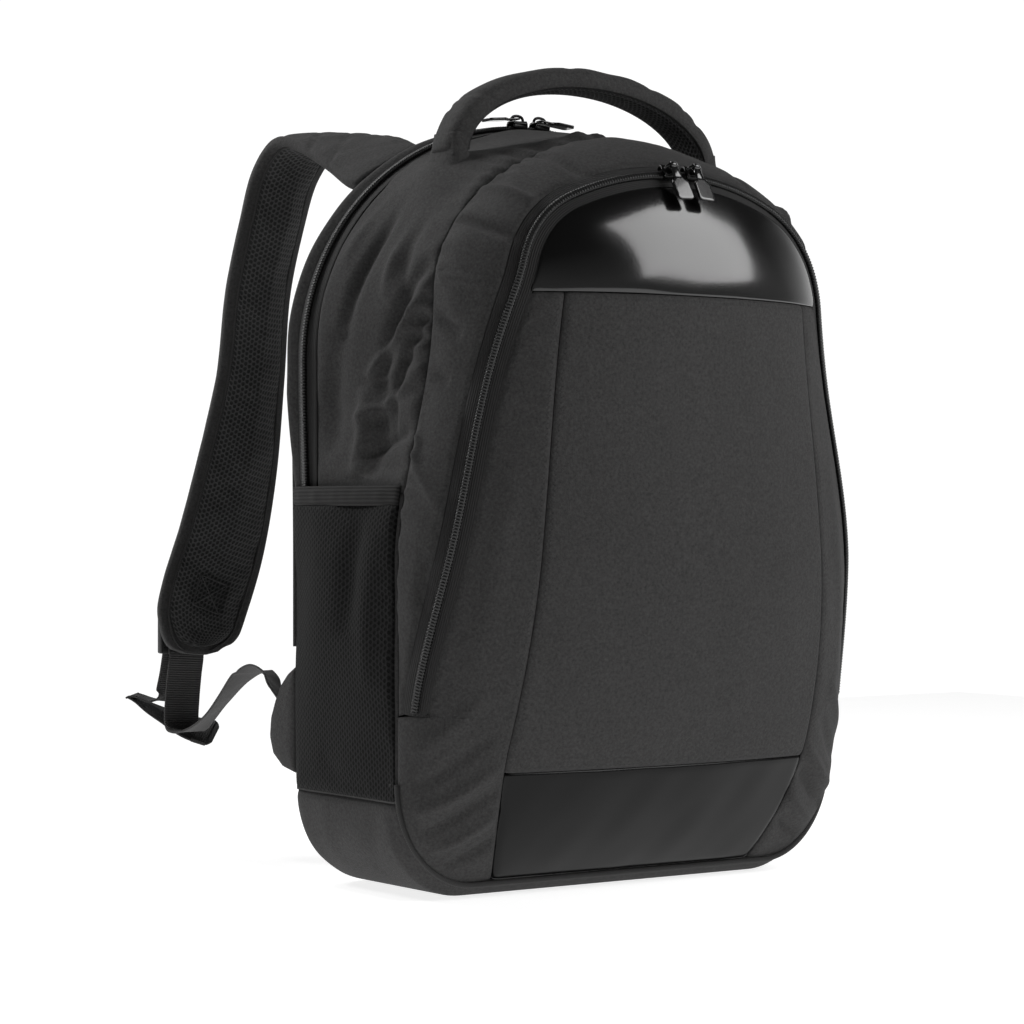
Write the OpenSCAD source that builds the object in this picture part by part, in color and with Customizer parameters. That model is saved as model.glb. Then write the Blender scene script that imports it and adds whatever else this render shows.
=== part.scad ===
// School backpack: two compartments, padded back, two shoulder straps.
// X runs across the bag, -Y is its front, +Y its back, and Z is up.
// The origin lies on the base's flat underside.

/* [Main compartment] */
// Height of the body at the main zip
body_h = 461; // [420:1:500]
// Width of the body over its lower half
body_w = 320; // [290:1:350]
// Distance of the back panel's edge behind the origin
back_y = 98; // [90:1:120]
// Distance of the main zip behind the origin
zip_y = 80; // [70:1:84]
// Width of the top arch at the main zip
zip_arch_w = 326; // [300:1:340]
// Thickness of the fabric shells with their lining
skin = 2.2; // [1.5:0.1:3]

/* [Front compartment] */
// Distance of the seam between the compartments in front of the origin
seam_front = 17; // [5:1:30]
// How far the front compartment bulges forward of that seam
front_depth = 79; // [50:1:100]
// Width of the arch at the seam
seam_arch_w = 273; // [240:1:300]
// Height of the seam's top
seam_h = 443; // [420:1:450]
// Lower edge of the upper gloss band
upper_band_z = 346; // [320:1:360]
// Upper edge of the lower gloss band
lower_band_z = 74; // [50:1:110]

/* [Zips] */
// Height of the front zip's top
front_zip_top = 417.5; // [400:0.5:425]
// Height where the front zip ends on each side
front_zip_end = 107; // [90:1:150]
// Height where the main zip ends on each side
main_zip_end = 240; // [200:1:280]
// Width of each zip tape
tape_w = 8; // [6:0.5:9]
// Radius of the coil
coil_r = 2; // [1.5:0.1:2.5]
// Length of a puller tab
puller_l = 24; // [18:1:30]
// Width of a puller tab
puller_w = 11.5; // [8:0.5:12]

/* [Carry handle] */
// Span between the outer sides of the handle's feet
handle_span = 206; // [180:1:220]
// Width of the padded handle
handle_w = 28; // [22:1:34]
// Padded thickness of the handle
handle_t = 16; // [12:1:20]

/* [Straps] */
// Thickness of the padded shoulder strap
strap_t = 12; // [8:1:16]
// Width of the adjuster webbing
webbing_w = 25; // [20:1:30]
// Thickness of the webbing
webbing_t = 1.6; // [1.2:0.1:2.4]

/* [Side pockets] */
// Height of a pocket's mouth
pocket_top = 238; // [200:1:240]
// Height of the seam at a pocket's foot
pocket_foot = 57; // [50:1:70]
// How far the mesh stands off the side at mid-height
pocket_bulge = 9; // [7:1:20]

/* [Hidden] */

seam_y = -seam_front;
seam_zc = 345;        // centre height of the arch at the seam
zip_zc = 312;         // centre height of the arch at the main zip
bow_z = 190;          // below this height the sides are straight
edge_tuck = 4;        // how far the back edge pulls in
tuck_y = 84;          // where that pull begins
squareness = 2.15;    // exponent of the front's horizontal sections
foot_z = 8;           // height of the front's lower seam
corner_x = 52;        // width of the lower front corners
corner_z = 60;        // height of the lower front corners
roll_z = 200;         // below this height the front rolls back to the base
base_corner = 46;     // radius of the base's side corners
arc_tilt = 11.5;       // tilt of the plane that holds the front zip's top arc
arc_r = 180;          // radius of the front zip's top arc
arc_end = 24;         // half angle of that arc
bend_r = 60;          // radius of the front zip's shoulder bends
bend_end = 75;        // direction where a shoulder bend ends
side_end_x = 157;     // half width between the front zip's lower ends
side_bow = 1.5;       // exponent of the front zip's side runs
main_arc_r = 178;     // radius of the main zip's top arc
pin_r = 0.9;          // radius of a slider's pin
pin_gap = 0.06;       // radial clearance of a puller on its pin
pin_z = 8.8;          // height of that pin over the zip
bar_lift = 6.9;       // height of a lying puller's cross bar
gap = 0.4;            // gap between a zip tape and the fabric beside it

charcoal = [0.11, 0.11, 0.115];
black = [0.04, 0.04, 0.045];
gloss = [0.07, 0.07, 0.075];
metal = [0.25, 0.25, 0.27];

function lerp(a, b, t) = a + (b - a) * t;
function clamp(v, lo, hi) = min(max(v, lo), hi);
function unit(v) = v / norm(v);

// ---- The main tube: an arch along Y. u runs from -1 over the top, 0, to 1.
function tube_share(y) = clamp((y - seam_y) / (zip_y - seam_y), 0, 1);
function tube_tuck(y) = edge_tuck * pow(clamp((y - tuck_y) / (back_y - tuck_y), 0, 1), 2);
function arch_a(y, t) = lerp(seam_arch_w, zip_arch_w, tube_share(y)) / 2 - tube_tuck(y) - t;
function arch_c(y) = lerp(seam_zc, zip_zc, tube_share(y));
function arch_h(y, t) = lerp(seam_h, body_h, tube_share(y)) - tube_tuck(y) - t;
function bow(z, zc) = (1 + cos(180 * clamp((zc - z) / (zc - bow_z), 0, 1))) / 2;
function tube_pt(u, y, t, z_low) =
    let (a = arch_a(y, t), zc = arch_c(y), wide = body_w / 2 - tube_tuck(y) / 2 - t,
         k = abs(u), th = 180 * min(k, 0.5), z = lerp(zc, z_low, 2 * max(k - 0.5, 0)),
         x = k <= 0.5 ? a * sin(th) : lerp(wide, a, bow(z, zc)))
    [sign(u) * x, y, k <= 0.5 ? zc + (arch_h(y, t) - zc) * cos(th) : z];

// ---- The front: horizontal sections are half superellipses of width W and depth D.
function crown(z) = sqrt(max(1 - pow((z - seam_zc) / (seam_h - seam_zc), 2), 0));
function front_w(z) =
    z > seam_zc ? seam_arch_w / 2 * crown(z)
    : z > foot_z + corner_z ? lerp(body_w, seam_arch_w, bow(z, seam_zc)) / 2
    : body_w / 2 - corner_x
      + corner_x * sqrt(max(1 - pow((foot_z + corner_z - max(z, foot_z)) / corner_z, 2), 0));
function front_d(z) =
    z > seam_zc ? front_depth * crown(z)
    : z > roll_z ? front_depth
    : front_depth * pow(1 - pow(clamp(1 - (z - foot_z) / (roll_z - foot_z), 0, 1), 2), 0.9);
function front_y(x, z) =
    seam_y - front_d(z)
    * pow(max(1 - pow(min(abs(x) / max(front_w(z), 0.01), 1), squareness), 0), 1 / squareness);
function front_pt(x, z) = [x, front_y(x, z), z];

// A point of the front moved inwards by t: the same section drawn smaller by t.
function front_in(x, z, t) =
    let (r = min(abs(x) / max(front_w(z), 0.01), 1), low = foot_z + corner_z, h = seam_h - seam_zc,
         z2 = z > seam_zc ? seam_zc + (z - seam_zc) * (h - t) / h
              : z < low ? low - (low - z) * (corner_z - t) / corner_z : z,
         w2 = z > seam_zc ? (seam_arch_w / 2 - t) * crown(z)
              : z < low ? body_w / 2 - corner_x
                          + (front_w(z) - body_w / 2 + corner_x) * (corner_x - t) / corner_x
              : front_w(z) - t,
         d2 = front_d(z) * (front_depth - t) / front_depth)
    [sign(x) * r * w2, seam_y - d2 * pow(max(1 - pow(r, squareness), 0), 1 / squareness), z2];
function front_n(x, z) =
    let (e = 0.5, xx = sign(x) * min(abs(x), front_w(z) - 1.2),
         dx = (front_y(xx + e, z) - front_y(xx - e, z)) / (2 * e),
         dz = (front_y(xx, z + e) - front_y(xx, z - e)) / (2 * e))
    unit([dx, -1, dz]);

// ---- The front zip's line: a true arc on top, a bend, then a side run. u as above.
u_arc = 0.22;
u_bend = 0.42;
arc_apex = [0, front_y(0, front_zip_top), front_zip_top];
arc_centre = arc_apex + arc_r * [0, sin(arc_tilt), -cos(arc_tilt)];
arc_x = arc_r * sin(arc_end);
arc_z = front_zip_top - arc_r * (1 - cos(arc_end)) * cos(arc_tilt);
arc_dir = atan(tan(arc_end) * cos(arc_tilt));
bend_c = [arc_x - bend_r * sin(arc_dir), arc_z - bend_r * cos(arc_dir)];
bend_x = bend_c[0] + bend_r * sin(bend_end);
bend_z = bend_c[1] + bend_r * cos(bend_end);
function zip_xz(u) =
    let (k = abs(u), a = arc_end * k / u_arc,
         b = lerp(arc_dir, bend_end, clamp((k - u_arc) / (u_bend - u_arc), 0, 1)),
         z = lerp(bend_z, front_zip_end, max(k - u_bend, 0) / (1 - u_bend)),
         s = (z - front_zip_end) / (bend_z - front_zip_end))
    k <= u_arc ? [sign(u) * arc_r * sin(a), front_zip_top - arc_r * (1 - cos(a)) * cos(arc_tilt)]
    : k <= u_bend ? [sign(u) * (bend_c[0] + bend_r * sin(b)), bend_c[1] + bend_r * cos(b)]
    : [sign(u) * (side_end_x - (side_end_x - bend_x) * pow(s, side_bow)), z];
function zip_pt(u) =
    abs(u) <= u_arc
    ? arc_centre + arc_r * [sin(arc_end * u / u_arc), -sin(arc_tilt) * cos(arc_end * u / u_arc),
                            cos(arc_tilt) * cos(arc_end * u / u_arc)]
    : let (q = zip_xz(u)) front_pt(q[0], q[1]);

// Walk d millimetres sideways off the zip over the surface, in steps; d > 0 leads outwards.
function sideways(u, d, steps = 4) =
    let (e = 0.01, t = unit(zip_pt(min(u + e, 1)) - zip_pt(max(u - e, -1))))
    walk(zip_xz(u), t, d / steps, steps);
function walk(q, t, d, n) =
    n == 0 ? q
    : let (b = cross(front_n(q[0], q[1]), t), x = q[0] + d * b[0], z = q[1] + d * b[2],
           w = front_w(z) - 0.3)
      walk([clamp(x, -w, w), z], t, d, n - 1);

// ---- Closed solids from point grids.
// An outer and an inner grid of the same size become one closed sheet.
module sheet(outer, inner) {
    n = len(outer);
    m = len(outer[0]);
    k = n * m;
    function at(i, j) = i * m + j;
    quads = concat(
        [for (i = [0:n - 2], j = [0:m - 2]) [at(i, j), at(i, j + 1), at(i + 1, j + 1), at(i + 1, j)]],
        [for (i = [0:n - 2], j = [0:m - 2])
            [k + at(i, j), k + at(i + 1, j), k + at(i + 1, j + 1), k + at(i, j + 1)]],
        [for (i = [0:n - 2]) [at(i, 0), at(i + 1, 0), k + at(i + 1, 0), k + at(i, 0)]],
        [for (i = [0:n - 2]) [at(i + 1, m - 1), at(i, m - 1), k + at(i, m - 1), k + at(i + 1, m - 1)]],
        [for (j = [0:m - 2]) [at(0, j + 1), at(0, j), k + at(0, j), k + at(0, j + 1)]],
        [for (j = [0:m - 2]) [at(n - 1, j), at(n - 1, j + 1), k + at(n - 1, j + 1), k + at(n - 1, j)]]);
    tris = [for (q = quads) each [[q[0], q[1], q[2]], [q[0], q[2], q[3]]]];
    polyhedron([for (g = [outer, inner]) for (r = g) each r], tris, convexity = 6);
}

// Rings of points joined into one closed tube; turned picks the other diagonal of each cell.
module skin_rings(rings, turned = false) {
    n = len(rings);
    m = len(rings[0]);
    function at(i, j) = i * m + (j % m);
    sides = [for (i = [0:n - 2], j = [0:m - 1])
        each turned
             ? [[at(i, j), at(i, j + 1), at(i + 1, j)], [at(i, j + 1), at(i + 1, j + 1), at(i + 1, j)]]
             : [[at(i, j), at(i, j + 1), at(i + 1, j + 1)], [at(i, j), at(i + 1, j + 1), at(i + 1, j)]]];
    ends = concat([for (j = [1:m - 2]) [0, j + 1, j]],
                  [for (j = [1:m - 2]) [at(n - 1, 0), at(n - 1, j), at(n - 1, j + 1)]]);
    polyhedron([for (r = rings) each r], concat(sides, ends), convexity = 6);
}

// A round bead along a path, with the surface normal at each point.
function bead_rings(path, normals, r, sides = 8) =
    let (n = len(path))
    [for (i = [0:n - 1])
        let (t = unit(path[min(i + 1, n - 1)] - path[max(i - 1, 0)]), v = normals[i],
             w = unit(cross(t, v)), up = cross(w, t))
        [for (j = [0:sides - 1]) path[i] + r * (cos(360 * j / sides) * w + sin(360 * j / sides) * up)]];

// A flat band along a path: each ring has half width h, thickness th and its own side direction.
function band_ring(p, tangent, side, h, th) =
    let (w = unit(side - tangent * (side * tangent)), n = cross(tangent, w))
    [p + h * w + th / 2 * n, p - h * w + th / 2 * n, p - h * w - th / 2 * n, p + h * w - th / 2 * n];
module band(path, sides, h, th) {
    n = len(path);
    skin_rings([for (i = [0:n - 1])
        band_ring(path[i], unit(path[min(i + 1, n - 1)] - path[max(i - 1, 0)]), sides[i], h, th)]);
}

// A smooth curve through a few points; each point may be any vector.
function spline(p, per) =
    let (n = len(p), q = concat([2 * p[0] - p[1]], p, [2 * p[n - 1] - p[n - 2]]))
    concat([for (i = [0:n - 2], k = [0:per - 1])
        let (t = k / per, a = q[i], b = q[i + 1], c = q[i + 2], d = q[i + 3])
        0.5 * (2 * b + (c - a) * t + (2 * a - 5 * b + 4 * c - d) * t * t
               + (3 * b - a - 3 * c + d) * t * t * t)],
        [p[n - 1]]);

// ---- Shells of the main tube.
module tube_patch(u0, u1, nu, y0, y1, ny, z_low, t0, t1) {
    function grid(t) = [for (i = [0:nu]) [for (j = [0:ny])
        tube_pt(lerp(u0, u1, i / nu), lerp(y0, y1, j / ny), t, z_low)]];
    sheet(grid(t0), grid(t1));
}
zip_half = 0.2;
main_front_edge = zip_y - zip_half - tape_w;
main_rear_edge = zip_y + zip_half + tape_w;

module main_gusset() {
    color(charcoal) tube_patch(-1, 1, 44, seam_y, main_front_edge - gap, 5, main_zip_end + gap, 0, skin);
}
module rear_gusset() {
    color(charcoal) tube_patch(-1, 1, 44, main_rear_edge + gap, back_y, 2, main_zip_end + gap, 0, skin);
}
module side_panel() {
    // the lower part of one side, behind its mesh pocket
    function grid(t) = [for (i = [0:6]) [for (j = [0:5])
        let (z = lerp(pocket_foot, main_zip_end, i / 6), y = lerp(seam_y, back_y, j / 5), zc = arch_c(y))
        [-lerp(body_w / 2 - tube_tuck(y) / 2 - t, arch_a(y, t), bow(z, zc)), y, z]]];
    color(charcoal) sheet(grid(0), grid(skin));
}
module main_zip_front_tape() {
    color(black) tube_patch(-1, 1, 44, main_front_edge, zip_y - zip_half, 1, main_zip_end + gap, 0.4, 1.8);
}
module main_zip_rear_tape() {
    color(black) tube_patch(-1, 1, 44, zip_y + zip_half, main_rear_edge, 1, main_zip_end + gap, 0.4, 1.8);
}
module main_zip_coil() {
    us = [for (i = [-28:28]) i / 28];
    color(black) skin_rings(bead_rings(
        [for (u = us) tube_pt(u, zip_y, -coil_r + 0.3, main_zip_end + 3)],
        [for (u = us) let (p = tube_pt(u, zip_y, 0, main_zip_end), q = tube_pt(u, zip_y, 10, main_zip_end))
            unit(p - q)],
        coil_r));
}

// ---- Base: a strip folded round the bottom, from one side seam to the other.
function base_outline(t, n = 8) =
    let (w = body_w / 2 - t, r = base_corner - t, c = w - r)
    concat([[-w, pocket_foot]],
           [for (i = [0:n]) let (a = 180 + 90 * i / n) [-c + r * cos(a), base_corner + r * sin(a)]],
           [for (x = [-0.6, -0.2, 0.2, 0.6]) [x * c, t]],
           [for (i = [0:n]) let (a = 270 + 90 * i / n) [c + r * cos(a), base_corner + r * sin(a)]],
           [[w, pocket_foot]]);
base_roll = 10;       // how far forward of the back edge the base begins to lift
back_lift = 12;       // how much the base has lifted at the back edge
front_lift = 12;      // length over which its front edge lifts to the front's seam
function base_inset(y) =
    back_lift * (1 - sqrt(max(1 - pow(clamp((y - back_y + base_roll) / base_roll, 0, 1), 2), 0.02)));
function base_rise(y, x) =
    foot_z * pow(clamp((seam_y + front_lift - y) / front_lift, 0, 1), 2);
module base_panel() {
    stations = [seam_y, seam_y + 4, seam_y + 8, seam_y + front_lift, 20, 55, 84, 90, 95, back_y];
    function grid(t) = [for (q = base_outline(t)) [for (y = stations)
        let (d = base_inset(y), w = clamp(1 - q[1] / pocket_foot, 0, 1))
        [q[0] * (1 - d * w * 0.6 / 160 - 0.0008 * base_rise(y, 0) * w),
         y, q[1] + w * (d + base_rise(y, q[0]))]]];
    color(charcoal) sheet(grid(0), grid(skin));
}
module base_board() {
    color(black) translate([-108, seam_y + 14, skin + 0.3]) cube([216, 88, 3]);
}
module base_piping() {
    // the cord sewn over the seam between the front and the base
    r = 1.4;
    off = r + 0.25;
    function corner(q) = let (n = unit([cos(q) / corner_x, -sin(q) / corner_z]))
        [body_w / 2 - corner_x + corner_x * cos(q) + off * n[0], seam_y - off,
         foot_z + corner_z - corner_z * sin(q) + off * n[1]];
    right = [for (i = [0:9]) corner(10 * i)];
    left = [for (i = [9:-1:0]) let (p = right[i]) [-p[0], p[1], p[2]]];
    path = concat(right, left);
    color(black) skin_rings(bead_rings(path, [for (p = path) [0, 1, 0]], r));
}

// ---- Back.
function board_outline(y, t, low, r, n = 24) =
    concat([for (i = [-n:n]) let (p = tube_pt(i / n, y, t, low + r)) [p[0], p[2]]],
           [for (i = [0:6]) let (a = -90 * i / 6, w = body_w / 2 - t - tube_tuck(y) / 2)
               [w - r + r * cos(a), low + r + r * sin(a)]],
           [for (i = [0:6]) let (a = -90 - 90 * i / 6, w = body_w / 2 - t - tube_tuck(y) / 2)
               [-w + r + r * cos(a), low + r + r * sin(a)]]);
module upright_board(y0, y1, t, low, r) {
    translate([0, y1, 0]) rotate([90, 0, 0]) linear_extrude(y1 - y0)
        polygon(board_outline(back_y, t, low, r));
}
module back_board() {
    color(black) upright_board(back_y - 6, back_y, skin + 0.6, 16, 40);
}
module back_binding() {
    us = [for (i = [-30:30]) i / 30];
    path = [for (u = us) let (p = tube_pt(u, back_y, 0.8, 142)) [p[0], back_y + 1.4, p[2]]];
    color(black) skin_rings(bead_rings(path, [for (p = path) [0, 1, 0]], 1.3));
}
module soft_pad(x0, x1, z0, z1, bulge) {
    // a crowned pad on the back panel
    n = 6;
    function grid(k) = [for (i = [0:n]) [for (j = [0:n])
        let (a = i / n, b = j / n, h = bulge * pow(max(sin(180 * a) * sin(180 * b), 0), 0.45))
        [lerp(x1, x0, a), back_y + 0.3 + k * (1.5 + h), lerp(z0, z1, b)]]];
    color(black) sheet(grid(1), grid(0));
}
module back_pad_left() { soft_pad(-126, -12, 168, 388, 9); }
module back_pad_right() { soft_pad(12, 126, 168, 388, 9); }
module lumbar_pad() { soft_pad(-128, 128, 78, 158, 11); }

// ---- Front.
module front_patch(outer) {
    sheet(outer, [for (r = outer) [for (p = r) front_in(p[0], p[2], skin)]]);
}
function seam_pt(u, z_low) = let (p = tube_pt(u, seam_y, 0, z_low)) [p[0], p[2]];
module front_gusset() {
    nu = 44;
    outer = [for (i = [-nu / 2:nu / 2]) let (u = i * 2 / nu, q = sideways(u, tape_w + gap + zip_half),
                 s = seam_pt(u, front_zip_end))
        [for (j = [0:5]) let (k = 1 - pow(1 - j / 5, squareness))
            front_pt(lerp(q[0], s[0], k), lerp(q[1], s[1], k))]];
    color(charcoal) front_patch(outer);
}
module zip_strip(d0, d1) {
    nu = 52;
    us = [for (i = [-nu / 2:nu / 2]) i * 2 / nu];
    function grid(t) = [for (u = us) [for (d = [d0, (d0 + d1) / 2, d1])
        let (q = sideways(u, d)) front_in(q[0], q[1], t)]];
    sheet(grid(1), grid(1.9));
}
module front_zip_outer_tape() { color(black) zip_strip(zip_half, zip_half + tape_w); }
module front_zip_inner_tape() { color(black) zip_strip(-zip_half - tape_w, -zip_half); }
module front_zip_coil() {
    us = [for (i = [-34:34]) i / 34 * 0.995];
    normals = [for (u = us) let (q = zip_xz(u)) front_n(q[0], q[1])];
    color(black) skin_rings(bead_rings(
        [for (i = [0:len(us) - 1]) zip_pt(us[i]) + (coil_r - 0.3) * normals[i]], normals, coil_r));
}

// Half width of the centre panel at each height.
function centre_w(z) =
    z > 85 ? 111 - 23 * pow((z - 85) / 260, 1.3) : 111 - 19 * pow((85 - z) / 85, 1.8);
// Half width reached by the fabric inside the zip, and by the whole front below the zip's end.
inner_edge = [for (i = [0:40]) sideways(i / 40, -tape_w - gap - zip_half)];
function inner_w(z) = z < front_zip_end ? front_w(z) : lookup(z, [for (q = inner_edge) [q[1], q[0]]]);
inner_top = inner_edge[0][1];
module front_panel_centre() {
    outer = [for (i = [0:10]) [for (j = [0:12])
        let (z = lerp(lower_band_z + gap / 2, upper_band_z - gap / 2, j / 12), w = centre_w(z) - gap / 2)
        front_pt(lerp(-w, w, i / 10), z)]];
    color(charcoal) front_patch(outer);
}
module lower_gloss_band() {
    outer = [for (i = [0:10]) [for (j = [0:6])
        let (z = lerp(foot_z + 1, lower_band_z - gap / 2, j / 6), w = centre_w(z) - gap / 2)
        front_pt(lerp(-w, w, i / 10), z)]];
    color(gloss) front_patch(outer);
}
module upper_gloss_band() {
    n = 12;
    outer = [for (i = [0:n]) [for (j = [0:6])
        let (x = lerp(-1, 1, i / n), w0 = inner_w(upper_band_z) * x,
             top = lookup(abs(w0), [for (q = inner_edge) [q[0], q[1]]]),
             z = lerp(upper_band_z + gap / 2, max(top, upper_band_z + 3), j / 6))
        front_pt(w0, z)]];
    color(gloss) front_patch(outer);
}
module front_side_panel() {
    zs = concat([for (i = [0:8]) lerp(foot_z + 1, front_zip_end - 0.5, i / 8)],
                [for (i = [0:11]) lerp(front_zip_end + 0.5, upper_band_z - gap / 2, i / 11)]);
    outer = [for (i = [0:5]) [for (z = zs)
        let (c = centre_w(z) + gap / 2, w = max(inner_w(z), c + 1))
        front_pt(-lerp(w, c, 1 - pow(1 - i / 5, 1.6)), z)]];
    color(charcoal) front_patch(outer);
}
module divider_wall() {
    // the wall between the compartments, inside the seam
    color(black) translate([0, seam_y + 3, 0]) rotate([90, 0, 0]) linear_extrude(2)
        polygon(board_outline(seam_y, skin + 1, 12, 44));
}

// ---- Inside.
module laptop_sleeve() {
    color(black) difference() {
        translate([-135, 66, 30]) cube([270, back_y - 6.5 - 66, 245]);
        translate([-132.5, 68.5, 33]) cube([265, 30, 250]);
    }
}
module sleeve_strap() {
    color(black) translate([-15, 63.7, 240]) union() {
        cube([30, 2, 60]);
        translate([0, 0, 58]) cube([30, back_y - 6.3 - 63.7, 2]);
    }
}
module organiser_panel() {
    color(black) translate([-105, seam_y - 5, 110]) cube([210, 2, 190]);
}
module organiser_pocket() {
    color(black) difference() {
        translate([-95, seam_y - 17, 115]) cube([190, 11.5, 110]);
        translate([-92.5, seam_y - 14.5, 117.5]) cube([185, 10, 120]);
    }
}

// ---- Side pockets.
function pocket_y(b) = lerp(seam_y + 1.5, back_y - 3, b);
function pocket_off(a, b) =
    2 + pocket_bulge * pow(max(sin(180 * b), 0), 0.7) * pow(max(sin(180 * pow(lerp(0.02, 0.86, a), 1.25)), 0), 0.6);
function pocket_pt(a, b, t) =
    let (z = lerp(pocket_foot + 1, pocket_top - 12, a), y = pocket_y(b), zc = arch_c(y),
         x = lerp(body_w / 2 - tube_tuck(y) / 2, arch_a(y, 0), bow(z, zc)))
    [-x - pocket_off(a, b) + t, y, z];
module side_pocket() {
    color(black) sheet([for (i = [0:10]) [for (j = [0:8]) pocket_pt(i / 10, j / 8, 0)]],
                       [for (i = [0:10]) [for (j = [0:8]) pocket_pt(i / 10, j / 8, 1.5)]]);
}
module pocket_elastic() {
    function grid(t) = [for (i = [0:1]) [for (j = [0:8])
        let (p = pocket_pt(1, j / 8, 0)) [p[0] - 0.5 + t, p[1], pocket_top - 12 + 12 * i]]];
    color(black) sheet(grid(0), grid(2.2));
}

// ---- Carry handle: half an ellipse from foot to foot, with round ends that roll on the feet.
handle_y = 27;
handle_foot_z = 435;
handle_rise = 58;
handle_as = concat([0.4, 2, 5, 9.5, 16.5], [for (a = [24:12:156]) a], [163.5, 170.5, 175, 178, 179.6]);
function handle_mid(a) =
    [-(handle_span - handle_t) / 2 * cos(a), handle_y, handle_foot_z + (handle_rise - handle_t / 2) * sin(a)];
function handle_dir(a) = unit(handle_mid(a + 1) - handle_mid(a - 1));
function handle_half(a) =
    let (r = handle_w / 2, s = (handle_rise - handle_t / 2) * sin(a)) s >= r ? r : sqrt(r * r - pow(r - s, 2));
function handle_ring(a, lo, hi) =
    let (c = handle_mid(a), n = cross([0, 1, 0], handle_dir(a)), h = handle_half(a))
    [for (k = [[-1, lo], [-1, hi * 0.4], [-0.6, hi], [0, hi * 1.12], [0.6, hi], [1, hi * 0.4], [1, lo]])
        c + [0, k[0] * h, 0] - n * k[1]];
module handle_cover() {
    color(charcoal) skin_rings([for (a = handle_as) handle_ring(a, -5.4, 7.2)]);
}
module handle_mesh() {
    function grid(d) = [for (a = handle_as) let (n = cross([0, 1, 0], handle_dir(a)), h = handle_half(a) * 0.86)
        [for (k = [1, -1]) handle_mid(a) + [0, k * h, 0] + n * (d + 5.7)]];
    color(black) sheet(grid(2.2), grid(0));
}
module handle_foot() {
    // the flared end of the handle, sewn down on the gusset
    y1 = handle_y + handle_w / 2;
    top = handle_foot_z - 0.9;
    function ground(x) = let (a = arch_a(y1, 0), c = arch_c(y1))
        c + (arch_h(y1, 0) - c) * sqrt(1 - pow(x / a, 2)) + 0.3;
    color(charcoal) translate([0, y1, 0]) rotate([90, 0, 0]) linear_extrude(handle_w)
        polygon([[-115, ground(-115)], [-115, ground(-115) + 0.8], [-109, ground(-109) + 4], [-104, top],
                 [-86, top], [-82, ground(-82) + 0.8], [-78, ground(-78) + 0.8],
                 each [for (x = [-78:-4:-114]) [x, ground(x)]]]);
}

// ---- Shoulder straps. Each row: centre x, y, z, roll of the outer edge and half width.
strap_route = [
    [-91.5, 105.8, 436.8, 31, 26.5], [-88, 134, 446.5, 23, 27], [-89, 170, 456.5, 9, 26], [-93, 195, 457, 2, 25],
    [-98, 212, 441, 0, 24], [-101, 224, 412, 0, 23.5], [-104, 238, 365, 0, 23.5], [-104, 248, 310, 0, 25],
    [-110, 254, 255, 0, 29.5], [-120, 257, 205, 0, 32], [-134, 256, 165, 0, 31], [-141.5, 254, 142, 0, 24]];
strap_line = spline(strap_route, 3);
function strap_at(i) = [strap_line[i][0], strap_line[i][1], strap_line[i][2]];
function strap_t_at(i) =
    unit(strap_at(min(i + 1, len(strap_line) - 1)) - strap_at(max(i - 1, 0)));
function strap_ring(i, lo, hi, trim) =
    let (p = strap_at(i), t = strap_t_at(i), roll = strap_line[i][3], h = strap_line[i][4] - trim,
         side0 = [cos(roll), 0, sin(roll)], w = unit(side0 - t * (side0 * t)), n = cross(w, t))
    [p - w * h + n * lo, p + w * h + n * lo, p + w * h + n * hi * 0.5, p + w * h * 0.8 + n * hi,
     p - w * h * 0.8 + n * hi, p - w * h + n * hi * 0.5];
module strap_pad() {
    color(charcoal) skin_rings([for (i = [0:len(strap_line) - 1]) strap_ring(i, -strap_t / 2 + 3, strap_t / 2, 0)]);
}
module strap_mesh() {
    color(black) skin_rings([for (i = [1:len(strap_line) - 1])
        let (r = strap_ring(i, -strap_t / 2, -strap_t / 2 + 2.6, 3)) [r[0], r[1], r[3], r[4]]], true);
}
// The ladder lock hangs by its round top bar in a loop of webbing sewn to the pad's end.
lock_x = -142.5;
bar_y = 267.2;
bar_z = 157.5;
bar_r = 2.2;
module ladder_lock() {
    color(black) translate([lock_x, bar_y, bar_z]) union() {
        for (s = [-1, 1]) translate([s * 16.5 - 1.5, -2, -26.5]) cube([3, 4, 29]);
        translate([-16, 0, 0]) rotate([0, 90, 0]) cylinder(h = 32, r = bar_r);
        translate([-16, -2, -14.5]) cube([32, 4, 6]);
        translate([-16, -2, -26.5]) cube([32, 4, 5]);
    }
}
module lock_keeper() {
    color(black) translate([lock_x - 12, bar_y, bar_z]) rotate([90, 0, 90]) linear_extrude(24) difference() {
        union() {
            circle(r = bar_r + 1.7);
            translate([-bar_r - 1.7, 0]) square([1.4, 34]);
        }
        circle(r = bar_r + 0.3);
    }
}

// ---- Webbing: from the wing over an arch, down to a fold, and up towards the buckle.
webbing_route = [
    [-157, 125.5, 113.5], [-155, 132, 119], [-152.5, 147, 124], [-150.5, 167, 122.5], [-149, 188, 113],
    [-147.5, 214, 98], [-146, 240, 86], [-145, 258, 81], [-144.5, 266, 86], [-143.8, 266.5, 100],
    [-143, 265.4, 116], [-142.5, 264.3, 129]];
webbing_line = spline(webbing_route, 2);
module adjuster_webbing() {
    color(black) band(webbing_line, [for (p = webbing_line) [1, 0, 0]], webbing_w / 2, webbing_t * 0.8);
}
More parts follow.
